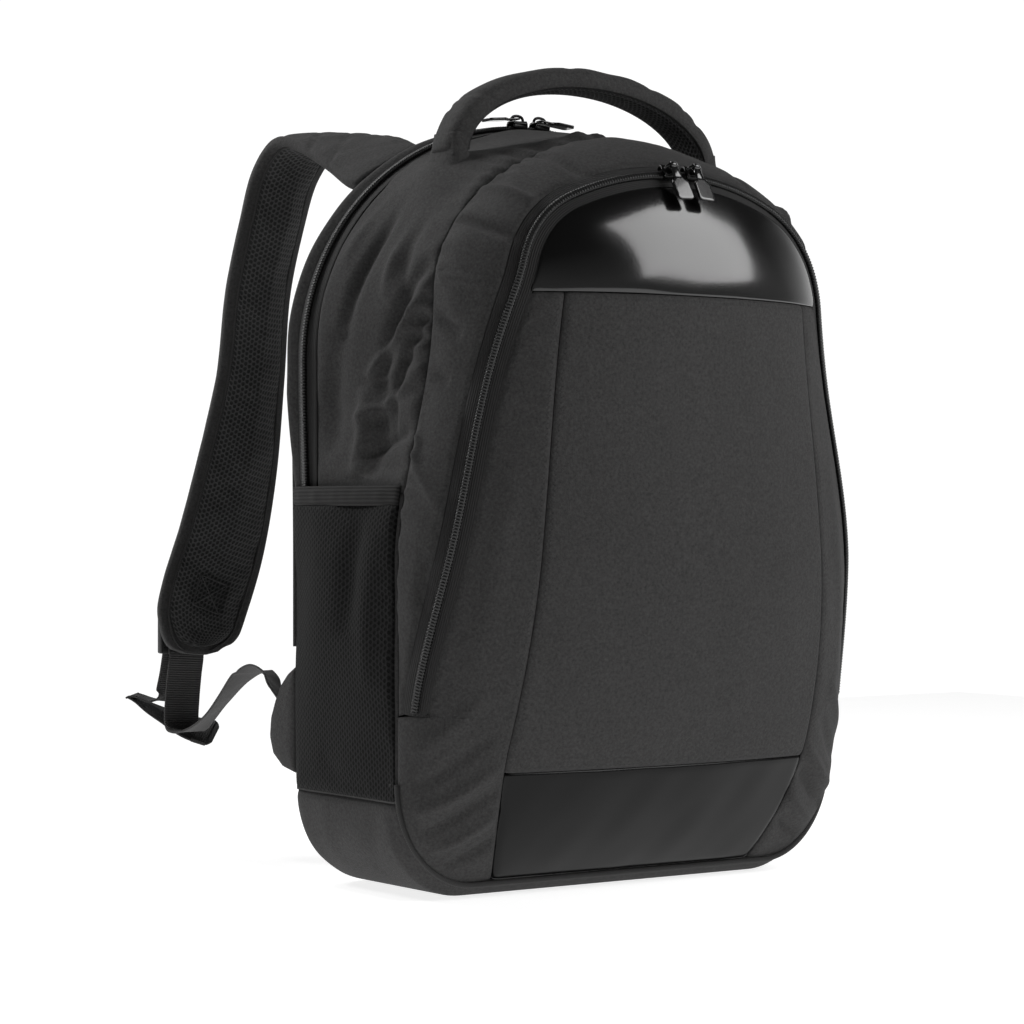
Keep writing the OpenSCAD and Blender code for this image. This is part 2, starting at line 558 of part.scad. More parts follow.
// Its free tail: up to the lock, over the lock's middle bar, down behind the run, out to a fold
// on the left, and back under it to its hem. Each row: x, y, z, and the width's heading and rise.
tail_route = [
    [-142.5, 264.1, 131, 0, 0], [-142.5, 264.1, 140, 0, 0], [-142.5, 264.6, 149.2, 0, 0],
    [-142.5, 267.2, 151.4, 0, 0], [-142.5, 269.8, 149.2, 0, 0], [-142.5, 270.3, 140, 0, 0],
    [-142.7, 271.3, 128, 0, 0], [-143, 274, 117, 0, 0], [-145.5, 278.5, 108, 20, 0], [-153, 284.5, 104.5, 48, 0],
    [-162, 291.5, 104.8, 55, 0], [-164.8, 293.5, 103.4, 55, 0], [-162, 291.5, 102, 55, 0],
    [-152, 288, 98, 55, 20], [-142, 285, 91.5, 55, 38], [-130, 276, 84, 55, 42], [-118, 266, 80, 55, 42]];
tail_line = spline(tail_route, 2);
module webbing_tail() {
    color(black) band([for (p = tail_line) [p[0], p[1], p[2]]],
        [for (p = tail_line) [cos(p[3]) * cos(p[4]), sin(p[3]) * cos(p[4]), sin(p[4])]],
        webbing_w / 2, webbing_t * 0.8);
}
module strap_wing() {
    // a padded fabric triangle sewn to the lower back edge
    outline = [[back_y + 1.2, 139], [110, 131], [118, 123], [123, 112], [129, 96], [130, 84], [125, 71],
               [115, 64], [back_y + 1.2, 60]];
    color(charcoal) translate([-160.5, 0, 0]) rotate([90, 0, 90]) linear_extrude(7)
        polygon([for (q = outline) [q[0], q[1]]]);
}

// ---- Sliders and pullers, drawn at a zip's top: X along the zip, Z out of the surface.
module slider() {
    // a channel over the coil, and a bridge along the zip for the puller
    color(metal) union() {
        difference() {
            translate([-6, -4.6, 0.5]) cube([12, 9.2, 5]);
            translate([-8, -2.5, -1]) cube([16, 5, 5.1]);
        }
        for (s = [-1, 1]) translate([s * 4.1 - 0.6, -1, 5.3]) cube([1.2, 2, 3.8]);
        translate([-4.7, 0, pin_z]) rotate([0, 90, 0]) cylinder(h = 9.4, r = pin_r);
    }
}
module tab() {
    // the flat part of a puller, pointing to -Y from the origin
    translate([-3, -8.5, -0.9]) cube([6, 2, 1.8]);
    hull() {
        translate([-3, -8, -0.9]) cube([6, 1, 1.8]);
        translate([-puller_w / 2, -11, -0.9]) cube([puller_w, 1, 1.8]);
    }
    translate([-puller_w / 2, -puller_l + 2, -0.9]) cube([puller_w, puller_l - 12, 1.8]);
    translate([-puller_w / 2 + 2, -puller_l, -0.9]) cube([puller_w - 4, 3, 1.8]);
}
module hanging_puller() {
    // turns on the bridge itself, across the zip
    color(black) translate([0, 0, pin_z]) rotate([12, 0, 0]) difference() {
        union() {
            translate([-3, 0, 0]) rotate([0, 90, 0]) cylinder(h = 6, r = 2);
            translate([-3, -7, -0.9]) cube([6, 6, 1.8]);
            tab();
        }
        translate([-4, 0, 0]) rotate([0, 90, 0]) cylinder(h = 8, r = pin_r + pin_gap);
    }
}
module lying_puller() {
    // its cross bar passes under the bridge, so that it lies along the zip
    color(black) translate([0, 0, bar_lift]) rotate([0, 0, -90]) rotate([3, 0, 0]) union() {
        translate([-3, 0, 0]) rotate([0, 90, 0]) cylinder(h = 6, r = 0.7);
        for (s = [-1, 1]) translate([s * 2.4 - 0.6, -7, -0.6]) cube([1.2, 7, 1.2]);
        tab();
    }
}
front_rest = 2.6;     // degrees each front slider stands off the top at rest
main_rest = 2.7;      // the same on the main zip
front_lean = acos(front_n(0, front_zip_top)[2]);
module on_front_zip(a) {
    translate(arc_centre) rotate(a = a, v = [0, cos(arc_tilt), sin(arc_tilt)]) translate(-arc_centre)
        translate(arc_apex) rotate([front_lean, 0, 0]) children();
}
module on_main_zip(a) {
    centre = [0, zip_y, body_h - main_arc_r];
    translate(centre) rotate([0, a, 0]) translate([0, 0, main_arc_r]) children();
}
module front_slider_left() { on_front_zip(-front_rest) slider(); }
module front_slider_right() { on_front_zip(front_rest) slider(); }
module front_puller_left() { on_front_zip(-front_rest) hanging_puller(); }
module front_puller_right() { on_front_zip(front_rest) hanging_puller(); }
module main_slider_left() { on_main_zip(-main_rest) slider(); }
module main_slider_right() { on_main_zip(main_rest) slider(); }
module main_puller_left() { on_main_zip(-main_rest) lying_puller(); }
module main_puller_right() { on_main_zip(main_rest) mirror([1, 0, 0]) lying_puller(); }

module on_side(right) {
    if (right) mirror([1, 0, 0]) children();
    else children();
}

main_gusset();
rear_gusset();
on_side(false) side_panel();  // side_panel_left
on_side(true) side_panel();  // side_panel_right
base_panel();
base_board();
base_piping();
back_board();
back_binding();
back_pad_left();
back_pad_right();
lumbar_pad();
main_zip_front_tape();
main_zip_rear_tape();
main_zip_coil();
divider_wall();
front_gusset();
front_zip_outer_tape();
front_zip_inner_tape();
front_zip_coil();
front_panel_centre();
on_side(false) front_side_panel();  // front_panel_left
on_side(true) front_side_panel();  // front_panel_right
upper_gloss_band();
lower_gloss_band();
on_side(false) side_pocket();  // side_pocket_left
on_side(true) side_pocket();  // side_pocket_right
on_side(false) pocket_elastic();  // pocket_elastic_left
on_side(true) pocket_elastic();  // pocket_elastic_right
laptop_sleeve();
sleeve_strap();
organiser_panel();
organiser_pocket();
handle_cover();
handle_mesh();
on_side(false) handle_foot();  // handle_foot_left
on_side(true) handle_foot();  // handle_foot_right
on_side(false) strap_pad();  // strap_pad_left
on_side(true) strap_pad();  // strap_pad_right
on_side(false) strap_mesh();  // strap_mesh_left
on_side(true) strap_mesh();  // strap_mesh_right
on_side(false) ladder_lock();  // ladder_lock_left
on_side(true) ladder_lock();  // ladder_lock_right
on_side(false) lock_keeper();  // lock_keeper_left
on_side(true) lock_keeper();  // lock_keeper_right
on_side(false) adjuster_webbing();  // adjuster_webbing_left
on_side(true) adjuster_webbing();  // adjuster_webbing_right
on_side(false) webbing_tail();  // webbing_tail_left
on_side(true) webbing_tail();  // webbing_tail_right
on_side(false) strap_wing();  // strap_wing_left
on_side(true) strap_wing();  // strap_wing_right
front_slider_left();
front_slider_right();
front_puller_left();
front_puller_right();
main_slider_left();
main_slider_right();
main_puller_left();
main_puller_right();
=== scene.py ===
"""Looks of a school backpack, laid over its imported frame. Shapes are worked out in millimetres. X runs from
the bag's left side to its right, Y from its front to its back, and Z up from the floor."""

import bpy
import numpy as np
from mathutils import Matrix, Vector


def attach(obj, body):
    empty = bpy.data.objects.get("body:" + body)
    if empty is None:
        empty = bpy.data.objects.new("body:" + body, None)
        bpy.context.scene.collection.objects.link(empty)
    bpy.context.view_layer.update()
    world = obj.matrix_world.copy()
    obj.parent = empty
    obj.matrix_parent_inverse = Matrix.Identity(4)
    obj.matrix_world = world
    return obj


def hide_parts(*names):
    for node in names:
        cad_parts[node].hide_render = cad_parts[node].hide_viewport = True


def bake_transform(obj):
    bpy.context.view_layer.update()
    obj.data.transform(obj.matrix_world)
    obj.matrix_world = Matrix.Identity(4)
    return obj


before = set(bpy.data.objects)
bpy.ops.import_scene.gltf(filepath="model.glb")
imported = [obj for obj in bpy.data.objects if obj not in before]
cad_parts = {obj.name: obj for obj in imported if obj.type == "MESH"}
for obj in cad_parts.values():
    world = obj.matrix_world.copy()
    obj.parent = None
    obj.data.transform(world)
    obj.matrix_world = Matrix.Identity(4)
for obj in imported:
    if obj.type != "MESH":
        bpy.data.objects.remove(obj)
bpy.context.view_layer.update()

# ---------------------------------------------------------------- sizes, in millimetres
# The skin changes evenly from the front seam to the main zip. For each of the two: depth, half width of the
# top arch, height where the arch springs from the sides, and height of its crown.
SEAM_Y, SEAM_A, SEAM_ZC, SEAM_H = -17.0, 136.5, 345.0, 443.0
ZIP_Y, ZIP_A, ZIP_ZC, BODY_H = 80.0, 163.0, 312.0, 461.0
# depth of the back, and the depth behind which the skin draws in by TUCK to meet it
BACK_Y, TUCK_Y, TUCK = 98.0, 84.0, 4.0
# half width of the body, the height where its sides are widest, and the front's lift off the floor
HALF_W, BOW_Z, FOOT_Z = 160.0, 190.0, 8.0
# how far the front bulges, and the power of its superellipse sections
DEPTH, SQUARE = 79.0, 2.15
# half axes of the front's lower corners, and the height where the front starts to roll under
CORNER_X, CORNER_Z, ROLL_Z = 52.0, 60.0, 200.0
# half axes of the base's corners, then half width between the front's long seams and the height of that
BASE_X, BASE_Z = 52.0, 54.0
SEAM_X, WIDE_Z = 111.0, 85.0
# lower edge of the upper band, upper edge of the lower band, and upper edge of the base
BAND_Z, HEM_Z, POCKET_Z = 346.0, 74.0, 57.0
# the front zip's arc: radius, lean and half angle; then its shoulder bends: radius and last heading
ARC_R, ARC_TILT, ARC_END = 180.0, np.radians(11.5), np.radians(24)
BEND_R, BEND_END = 60.0, np.radians(75)
# the front zip's top, its lower ends and their half width, and the shares of its run where arc and bends end
ZIP_TOP, ZIP_END, SIDE_X = 417.5, 107.0, 157.0
U_ARC, U_BEND = 0.22, 0.42
# the main zip's lower ends, half the gap between the fabrics over a zip, and the gusset's lower edge
MAIN_END, TAPE = 240.0, 7.6
LOW = MAIN_END - 7.0
# the carry handle's depth, half its span, the height of its feet and its rise over them
HANDLE_Y, HANDLE_SPAN, HANDLE_Z, HANDLE_RISE = 27.0, 95.0, 435.0, 50.0

X, Y, Z = np.eye(3)
MIRROR = np.array([-1, 1, 1])
SIDES = (("left", -1), ("right", 1))
BORDERS = ("i0", "i1", "j0", "j1")


def lerp(a, b, t):
    """The value at share t of the way from a to b."""
    return a + (b - a) * t


def ramp(v, start, length):
    """0 up to start, 1 from start + length on, and even in between."""
    return np.clip((v - start) / length, 0, 1)


def unit(v):
    """Each vector divided by its length."""
    return v / np.maximum(np.linalg.norm(v, axis=-1, keepdims=True), 1e-9)


def pts(x, y, z):
    """Points from three arrays that broadcast together."""
    return np.stack(np.broadcast_arrays(x, y, z), axis=-1).astype(float)


def squared(v, k):
    """v to the power k with its sign kept, which turns a circle's sine and cosine into a superellipse's."""
    return np.sign(v) * np.abs(v) ** k


def turns(n):
    """n angles evenly round a full turn."""
    return np.linspace(0, 2 * np.pi, n, endpoint=False)


# ---------------------------------------------------------------- the bag's surfaces
def bow(z, zc):
    """Half a cosine wave: 1 at height zc and above, 0 at BOW_Z and below."""
    return (1 + np.cos(np.pi * np.clip((zc - z) / (zc - BOW_Z), 0, 1))) / 2


def tuck_at(y):
    """How far the skin draws in near the back: TUCK times the square of the way there."""
    return TUCK * ramp(y, TUCK_Y, BACK_Y - TUCK_Y) ** 2


def arch_at(y):
    """Half width, springing height and crown height of the top arch at depth y, without the tuck."""
    f = ramp(y, SEAM_Y, ZIP_Y - SEAM_Y)
    return lerp(SEAM_A, ZIP_A, f), lerp(SEAM_ZC, ZIP_ZC, f), lerp(SEAM_H, BODY_H, f)


def tube(u, y, z_low, t=0.0):
    """The main compartment's skin: at each y an arch of two quarter ellipses on two bowed sides.
    u runs from the left hem, -1, over the top, 0, to the right hem, 1; t sets it inwards."""
    tuck = tuck_at(y)
    a, zc, h = arch_at(y)
    a, h = a - tuck - t, h - tuck - t
    k = np.abs(u)
    th = np.pi * np.minimum(k, 0.5)
    z = lerp(zc, z_low, 2 * np.maximum(k - 0.5, 0))
    side = lerp(HALF_W - tuck / 2 - t, a, bow(z, zc))
    x = np.where(k <= 0.5, a * np.sin(th), side)
    return pts(np.sign(u) * x, y, np.where(k <= 0.5, zc + (h - zc) * np.cos(th), z))


def side_x(y, z):
    """Half width of the main compartment at depth y and height z, below its top arch."""
    tuck = tuck_at(y)
    a, zc, _ = arch_at(y)
    return lerp(HALF_W - tuck / 2, a - tuck, bow(z, zc))


def crown(z):
    """The front arch's quarter ellipse: 1 where it springs and 0 at its crown."""
    return np.sqrt(np.maximum(1 - ((z - SEAM_ZC) / (SEAM_H - SEAM_ZC)) ** 2, 0))


def front_w(z):
    """Half width of the front at height z: an arch, bowed sides, and elliptic lower corners."""
    drop = (FOOT_Z + CORNER_Z - np.maximum(z, FOOT_Z)) / CORNER_Z
    low = HALF_W - CORNER_X + CORNER_X * np.sqrt(np.maximum(1 - drop ** 2, 0))
    mid = lerp(HALF_W, SEAM_A, bow(z, SEAM_ZC))
    return np.where(z > SEAM_ZC, SEAM_A * crown(z), np.where(z > FOOT_Z + CORNER_Z, mid, low))


def front_d(z):
    """How far the front bulges at height z: full at mid height, along the arch above, rolled under below."""
    s = np.clip(1 - (z - FOOT_Z) / (ROLL_Z - FOOT_Z), 0, 1)
    return np.where(z > SEAM_ZC, DEPTH * crown(z), DEPTH * (1 - s ** 2) ** 0.9)


def front_y(x, z):
    """The front's horizontal sections are half superellipses of half width front_w and depth front_d."""
    r = np.minimum(np.abs(x) / np.maximum(front_w(z), 0.01), 1)
    return SEAM_Y - front_d(z) * np.maximum(1 - r ** SQUARE, 0) ** (1 / SQUARE)


def front(x, z):
    """Points of the front at x and z."""
    return pts(x, front_y(x, z), z)


def front_n(x, z):
    """The front's outward normal, from its slopes over a step of e to either side."""
    e = 0.5
    x = np.sign(x) * np.minimum(np.abs(x), front_w(z) - 1.2)
    dx = (front_y(x + e, z) - front_y(x - e, z)) / (2 * e)
    dz = (front_y(x, z + e) - front_y(x, z - e)) / (2 * e)
    return unit(pts(dx, -1, dz))


def on_side(*rows):
    """Points of the left side given as depth and height."""
    return [[-float(side_x(y, z)), y, z] for y, z in rows]


def on_front(*rows):
    """Points of the front given as x and height."""
    return [[x, float(front_y(np.array(x), np.array(z))), z] for x, z in rows]


# the front zip: the apex, centre and axis of its arc, then its bends, which start where the arc ends
APEX = np.array([0, float(front_y(0, ZIP_TOP)), ZIP_TOP])
ARC_C = APEX + ARC_R * np.array([0, np.sin(ARC_TILT), -np.cos(ARC_TILT)])
ARC_AXIS = np.array([0, np.cos(ARC_TILT), np.sin(ARC_TILT)])
ARC_X = ARC_R * np.sin(ARC_END)
ARC_Z = ZIP_TOP - ARC_R * (1 - np.cos(ARC_END)) * np.cos(ARC_TILT)
ARC_DIR = np.arctan(np.tan(ARC_END) * np.cos(ARC_TILT))
BEND_C = (ARC_X - BEND_R * np.sin(ARC_DIR), ARC_Z - BEND_R * np.cos(ARC_DIR))
BEND_X = BEND_C[0] + BEND_R * np.sin(BEND_END)
BEND_Z = BEND_C[1] + BEND_R * np.cos(BEND_END)


def zip_xz(u):
    """The front zip seen from the front: a true arc in a leaning plane, two shoulder bends, two side runs."""
    k = np.abs(u)
    a = ARC_END * k / U_ARC
    b = lerp(ARC_DIR, BEND_END, ramp(k, U_ARC, U_BEND - U_ARC))
    z = lerp(BEND_Z, ZIP_END, np.maximum(k - U_BEND, 0) / (1 - U_BEND))
    s = ramp(z, ZIP_END, BEND_Z - ZIP_END)
    x = np.where(k <= U_ARC, ARC_R * np.sin(a), np.where(
        k <= U_BEND, BEND_C[0] + BEND_R * np.sin(b), SIDE_X - (SIDE_X - BEND_X) * s ** 1.5))
    z = np.where(k <= U_ARC, ZIP_TOP - ARC_R * (1 - np.cos(a)) * np.cos(ARC_TILT),
                 np.where(k <= U_BEND, BEND_C[1] + BEND_R * np.cos(b), z))
    return np.sign(u) * x, z


def zip_pt(u):
    """Points of the front zip: on its leaning arc across the top, and on the front's surface beyond it."""
    x, z = zip_xz(u)
    a = ARC_END * u / U_ARC
    arc = ARC_C + ARC_R * pts(np.sin(a), -np.sin(ARC_TILT) * np.cos(a), np.cos(ARC_TILT) * np.cos(a))
    return np.where((np.abs(u) <= U_ARC)[..., None], arc, front(x, z))


def beside_zip(u, d, steps=6):
    """The point d millimetres sideways of the zip, walked over the surface; d > 0 leads outwards."""
    u, d = np.broadcast_arrays(np.asarray(u, float), np.asarray(d, float))
    t = unit(zip_pt(np.minimum(u + 0.01, 1)) - zip_pt(np.maximum(u - 0.01, -1)))
    x, z = zip_xz(u)
    for _ in range(steps):
        b = np.cross(front_n(x, z), t)
        x, z = x + d / steps * b[..., 0], z + d / steps * b[..., 2]
        w = front_w(z) - 0.3
        x = np.clip(x, -w, w)
    return x, z


def centre_w(z):
    """Half width between the two long seams of the front: widest at WIDE_Z, narrower above and below."""
    above = SEAM_X - 23 * (np.maximum(z - WIDE_Z, 0) / 260) ** 1.3
    below = SEAM_X - 19 * (np.maximum(WIDE_Z - z, 0) / WIDE_Z) ** 1.8
    return np.where(z > WIDE_Z, above, below)


# ---------------------------------------------------------------- relief
def waves(p, size, seed, kinds=9):
    """Smooth noise of about -1..1: sine waves of about this length in fixed odd directions."""
    rng = np.random.default_rng(seed)
    total = 0
    for _ in range(kinds):
        d = unit(rng.normal(size=3)) / (size * rng.uniform(0.7, 1.6))
        total = total + np.sin(2 * np.pi * (p @ d) + rng.uniform(0, 6.3))
    return total / np.sqrt(kinds)


def crease(p, path, width, height, soft=0.5):
    """A ridge, or a furrow if height < 0, along a polyline: a bell across it that fades at both ends."""
    path = np.asarray(path, float)
    best = np.full(p.shape[:-1], 1e9)
    along = np.zeros(p.shape[:-1])
    pieces = np.linalg.norm(np.diff(path, axis=0), axis=1)
    start = 0
    for a, b, l in zip(path[:-1], path[1:], pieces):
        t = np.clip(((p - a) @ (b - a)) / max(l * l, 1e-9), 0, 1)
        dist = np.linalg.norm(p - (a + t[..., None] * (b - a)), axis=-1)
        near = dist < best
        best = np.where(near, dist, best)
        along = np.where(near, start + t * l, along)
        start += l
    return height * np.exp(-(best / width) ** 2) * np.sin(np.pi * np.clip(along / start, 0, 1)) ** soft


def puckers(s, d, pitch, height, reach, seed):
    """Gathers along a seam: uneven waves along it, s, that die out with the distance from it, d."""
    rng = np.random.default_rng(seed)
    a, b, c = rng.uniform(0, 6.3, 3)
    drift = s + 0.45 * pitch * np.sin(s / (1.1 * pitch) + a) + 0.3 * pitch * np.sin(s / (2.7 * pitch) + b)
    swell = 0.6 + 0.4 * np.sin(s / (1.9 * pitch) + c)
    return height * swell * np.sin(2 * np.pi * drift / pitch) * np.exp(-d / reach)


# ---------------------------------------------------------------- meshes
def mesh_object(name, verts, quads, tris=(), uv=None, edge=None):
    """A smooth mesh from arrays, verts in millimetres. uv and edge are per vertex, in metres."""
    quads = np.asarray(quads, np.int32).reshape(-1, 4)
    tris = np.asarray(tris, np.int32).reshape(-1, 3)
    loops = np.concatenate([quads.ravel(), tris.ravel()])
    starts = np.concatenate([np.arange(len(quads)) * 4, 4 * len(quads) + np.arange(len(tris)) * 3])
    me = bpy.data.meshes.new(name)
    me.vertices.add(len(verts))
    me.vertices.foreach_set("co", (np.asarray(verts, float) * 0.001).ravel())
    me.loops.add(len(loops))
    me.loops.foreach_set("vertex_index", loops)
    me.polygons.add(len(starts))
    me.polygons.foreach_set("loop_start", starts.astype(np.int32))
    me.polygons.foreach_set("use_smooth", np.ones(len(starts), bool))
    me.update(calc_edges=True)
    if uv is not None:
        me.uv_layers.new(name="UVMap").data.foreach_set("uv", np.asarray(uv)[loops].astype(float).ravel())
    if edge is not None:
        me.attributes.new("edge", "FLOAT_VECTOR", "POINT").data.foreach_set(
            "vector", np.asarray(edge, float).ravel())
    ob = bpy.data.objects.new(name, me)
    bpy.context.scene.collection.objects.link(ob)
    return ob


def own(ob, material, body, node):
    """Give a rigid piece its material and its body, and hide the frame node it stands for."""
    ob.data.materials.append(material)
    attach(ob, body)
    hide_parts(node)


def trim(ob, material, body):
    """The same for a small rigid piece that stands for no node."""
    ob.data.materials.append(material)
    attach(ob, body)


def bend(ob, material, body_a, body_b, start, end, node=None, slot=None):
    """The same for a soft piece, but it is put on no body and does not bend: it takes its material, its frame
    node is hidden if one is given, and its placement is baked into its mesh.
    """
    ob.data.materials.append(material)
    if node:
        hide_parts(node)
    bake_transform(ob)


def normals(p):
    """A grid's unit normals: the cross product of its steps along rows and columns."""
    return unit(np.cross(np.gradient(p, axis=0), np.gradient(p, axis=1)))


def lengths(path):
    """The length of a path from its start up to each of its points."""
    return np.concatenate([[0], np.cumsum(np.linalg.norm(np.diff(path[:, :3], axis=0), axis=1))])


def spans(p):
    """Lengths along the rows and columns of a grid of points, from its first border, and in all."""
    out = []
    for axis in (0, 1):
        step = np.linalg.norm(np.diff(p, axis=axis), axis=-1)
        zero = np.zeros_like(np.take(step, [0], axis=axis))
        s = np.concatenate([zero, np.cumsum(step, axis=axis)], axis=axis)
        out += [s, np.take(s, [-1], axis=axis)]
    return out


def borders(p):
    """Distance to each border of a grid and the place along it."""
    si, ti, sj, tj = spans(p)
    return {"i0": (si, sj), "i1": (ti - si, sj), "j0": (sj, si), "j1": (tj - sj, si)}


def panel(name, p, relief=None, roll=1.2, width=1.6, thick=1.8, skip=(), stitch=None):
    """A sewn panel as a closed shell. p is its outer grid, with rows x columns pointing outwards. Its
    borders roll into their seams except those in skip, and relief moves the rest along the normals. Rows of
    stitches show along the borders in stitch, or along all that roll."""
    n = normals(p)
    sides = borders(p)
    seams = [key for key in BORDERS if key not in skip]
    off = np.zeros(p.shape[:2])
    still = 1.0
    for key in seams:
        d = sides[key][0]
        off = off - roll * np.exp(-(d / width) ** 1.5)
        still = still * (1 - np.exp(-(d / 2.6) ** 1.5))
    if relief is not None:
        off = off + relief(p, sides) * still
    outer = p + n * off[..., None]
    inner = outer - n * thick
    r, c = p.shape[:2]
    k = r * c
    at = np.arange(k).reshape(r, c)
    a, b, e, d = at[:-1, :-1].ravel(), at[1:, :-1].ravel(), at[1:, 1:].ravel(), at[:-1, 1:].ravel()
    quads = [np.stack([a, b, e, d], 1), np.stack([a, d, e, b], 1) + k]
    for line, flip in ((at[:, 0], 0), (at[:, -1], 1), (at[0, :], 1), (at[-1, :], 0)):
        q = np.stack([line[:-1], line[:-1] + k, line[1:] + k, line[1:]], 1)
        quads.append(q[:, ::-1] if flip else q)
    near = np.stack([sides[key][0] for key in BORDERS])
    which = np.argmin(near, axis=0)
    along = np.choose(which, [sides[key][1] for key in BORDERS])
    sewn = seams if stitch is None else stitch
    allow = np.choose(which, [float(key in sewn) for key in BORDERS])
    edge = np.stack([near.min(axis=0), along, allow * 1000], -1).reshape(-1, 3) * 0.001
    uv = np.stack([sides["i0"][0], sides["j0"][0]], -1).reshape(-1, 2) * 0.001
    return mesh_object(name, np.concatenate([outer.reshape(-1, 3), inner.reshape(-1, 3)]),
                       np.concatenate(quads), uv=np.concatenate([uv, uv]), edge=np.concatenate([edge, edge]))


def tube_arrays(rings):
    """A closed skin through rings of points, capped at the middles of its ends and turned to face outwards:
    its vertices, quads, triangles, and a map of the lengths along and round it, in metres."""
    r, m = rings.shape[:2]
    at = np.arange(r * m).reshape(r, m)
    nxt = np.roll(at, -1, axis=1)
    quads = np.stack([at[:-1], nxt[:-1], nxt[1:], at[1:]], -1).reshape(-1, 4)
    tris = np.concatenate([np.stack([np.full(m, r * m), nxt[0], at[0]], 1),
                           np.stack([np.full(m, r * m + 1), at[-1], nxt[-1]], 1)])
    verts = np.concatenate([rings.reshape(-1, 3), rings[:1].mean(axis=1), rings[-1:].mean(axis=1)])
    si, _, sj, _ = spans(np.concatenate([rings, rings[:, :1]], axis=1))
    uv = np.stack([si[:, :m], sj[:, :m]], -1).reshape(-1, 2) * 0.001
    corners = verts[np.concatenate([quads[:, :3], quads[:, [0, 2, 3]], tris])]
    volume = (corners[:, 0] * np.cross(corners[:, 1], corners[:, 2])).sum()
    if volume < 0:
        quads, tris = quads[:, [0, 3, 2, 1]], tris[:, [0, 2, 1]]
    return verts, quads, tris, np.concatenate([uv, uv[:1], uv[-1:]])


def tube_mesh(name, rings):
    """One closed skin as a mesh."""
    verts, quads, tris, uv = tube_arrays(rings)
    return mesh_object(name, verts, quads, tris, uv=uv)


def joined(name, parts):
    """Several closed skins as one mesh."""
    skins = [tube_arrays(rings) for rings in parts]
    starts = np.cumsum([0] + [len(skin[0]) for skin in skins])
    quads = np.concatenate([skin[1] + start for skin, start in zip(skins, starts)])
    tris = np.concatenate([skin[2] + start for skin, start in zip(skins, starts)])
    return mesh_object(name, np.concatenate([skin[0] for skin in skins]), quads, tris)


def other_side(rings):
    """The same rings on the right side of the bag, each run round the other way."""
    return (rings * MIRROR)[:, ::-1]


def paired(name, side, rings):
    """A closed skin drawn on the left side, or its mirror image on the right. side fills in its name."""
    return tube_mesh(name % side, other_side(rings) if side == "right" else rings)


def mirrored(p):
    """The same grid on the other side of the bag, its rows reversed so it still faces outwards."""
    return (p * MIRROR)[::-1]


def frames(path, up):
    """Sideways and raised unit vectors along a path; up is the rough raised direction."""
    t = unit(np.gradient(path, axis=0))
    w = unit(np.cross(t, up))
    return w, np.cross(w, t)


def carried(path, section, w, v):
    """A section carried along a path: each ring takes its two columns as distances along w and v."""
    return path[:, None] + section[..., :1] * w + section[..., 1:] * v[:, None]


def ringed(path, up, profile):
    """Rings round a path: profile gives each ring's sideways and raised offsets."""
    w, v = frames(path, up)
    return carried(path, profile, w[:, None], v)


def round_profile(r, sides=10, flat=1.0):
    """A circle of radius r, its height times flat."""
    a = np.arange(sides) * 2 * np.pi / sides
    return np.stack([r * np.cos(a), r * flat * np.sin(a)], -1)


def spline(rows, per):
    """A smooth curve through rows of any width, with per steps between two rows."""
    p = np.asarray(rows, float)
    q = np.vstack([2 * p[0] - p[1], p, 2 * p[-1] - p[-2]])
    t = (np.arange(per) / per)[:, None]
    out = []
    for a, b, c, d in zip(q[:-3], q[1:-2], q[2:-1], q[3:]):
        out.append(0.5 * (2 * b + (c - a) * t + (2 * a - 5 * b + 4 * c - d) * t ** 2
                          + (3 * b - a - 3 * c + d) * t ** 3))
    return np.vstack(out + [p[-1:]])


def even(path, step):
    """The same path with points evenly spaced by about step; extra columns go along."""
    s = lengths(path)
    n = max(int(round(s[-1] / step)), 2)
    want = np.linspace(0, s[-1], n + 1)
    return np.stack([np.interp(want, s, path[:, c]) for c in range(path.shape[1])], 1)


def even_outline(points, step):
    """A closed outline in two columns with points evenly spaced, the first not repeated at its end."""
    line = np.vstack([points, points[:1]])
    return even(np.column_stack([line, np.zeros(len(line))]), step)[:-1, :2]


# ---------------------------------------------------------------- materials
class Sock:
    """A shader value that takes part in Python arithmetic."""
    tree = None

    def __init__(self, out):
        self.out = out

    @classmethod
    def node(cls, kind, out=0, inputs=None, **props):
        """A new shader node with these inputs and settings, read at one of its outputs."""
        n = cls.tree.nodes.new(kind)
        for key, value in props.items():
            setattr(n, key, value)
        for key, value in (inputs or {}).items():
            cls.feed(n.inputs[key], value)
        return cls(n.outputs[out])

    @classmethod
    def feed(cls, socket, value):
        """Link a value to a socket, or set the socket to a plain number."""
        if isinstance(value, Sock):
            cls.tree.links.new(value.out, socket)
        else:
            socket.default_value = value

    @classmethod
    def math(cls, operation, *args):
        """One step of arithmetic."""
        return cls.node("ShaderNodeMath", inputs=dict(enumerate(args)), operation=operation)

    def __add__(self, o): return self.math("ADD", self, o)
    def __radd__(self, o): return self.math("ADD", o, self)
    def __sub__(self, o): return self.math("SUBTRACT", self, o)
    def __rsub__(self, o): return self.math("SUBTRACT", o, self)
    def __mul__(self, o): return self.math("MULTIPLY", self, o)
    def __rmul__(self, o): return self.math("MULTIPLY", o, self)
    def __truediv__(self, o): return self.math("DIVIDE", self, o)
    def __gt__(self, o): return self.math("GREATER_THAN", self, o)
    def __lt__(self, o): return self.math("LESS_THAN", self, o)


def wave(x):
    """A sine wave of period 1."""
    return Sock.math("SINE", x * 6.28318)


def noise(size, detail=3.0, rough=0.55):
    """Noise of about this grain, in metres, fixed to the object."""
    where = Sock.node("ShaderNodeTexCoord", "Object")
    return Sock.node("ShaderNodeTexNoise", inputs={
        "Vector": where, "Scale": 1 / size, "Detail": detail, "Roughness": rough})


def parts_of(vector):
    """The three numbers of a shader vector."""
    split = Sock.node("ShaderNodeSeparateXYZ", inputs={0: vector})
    return [Sock(out) for out in split.out.node.outputs]


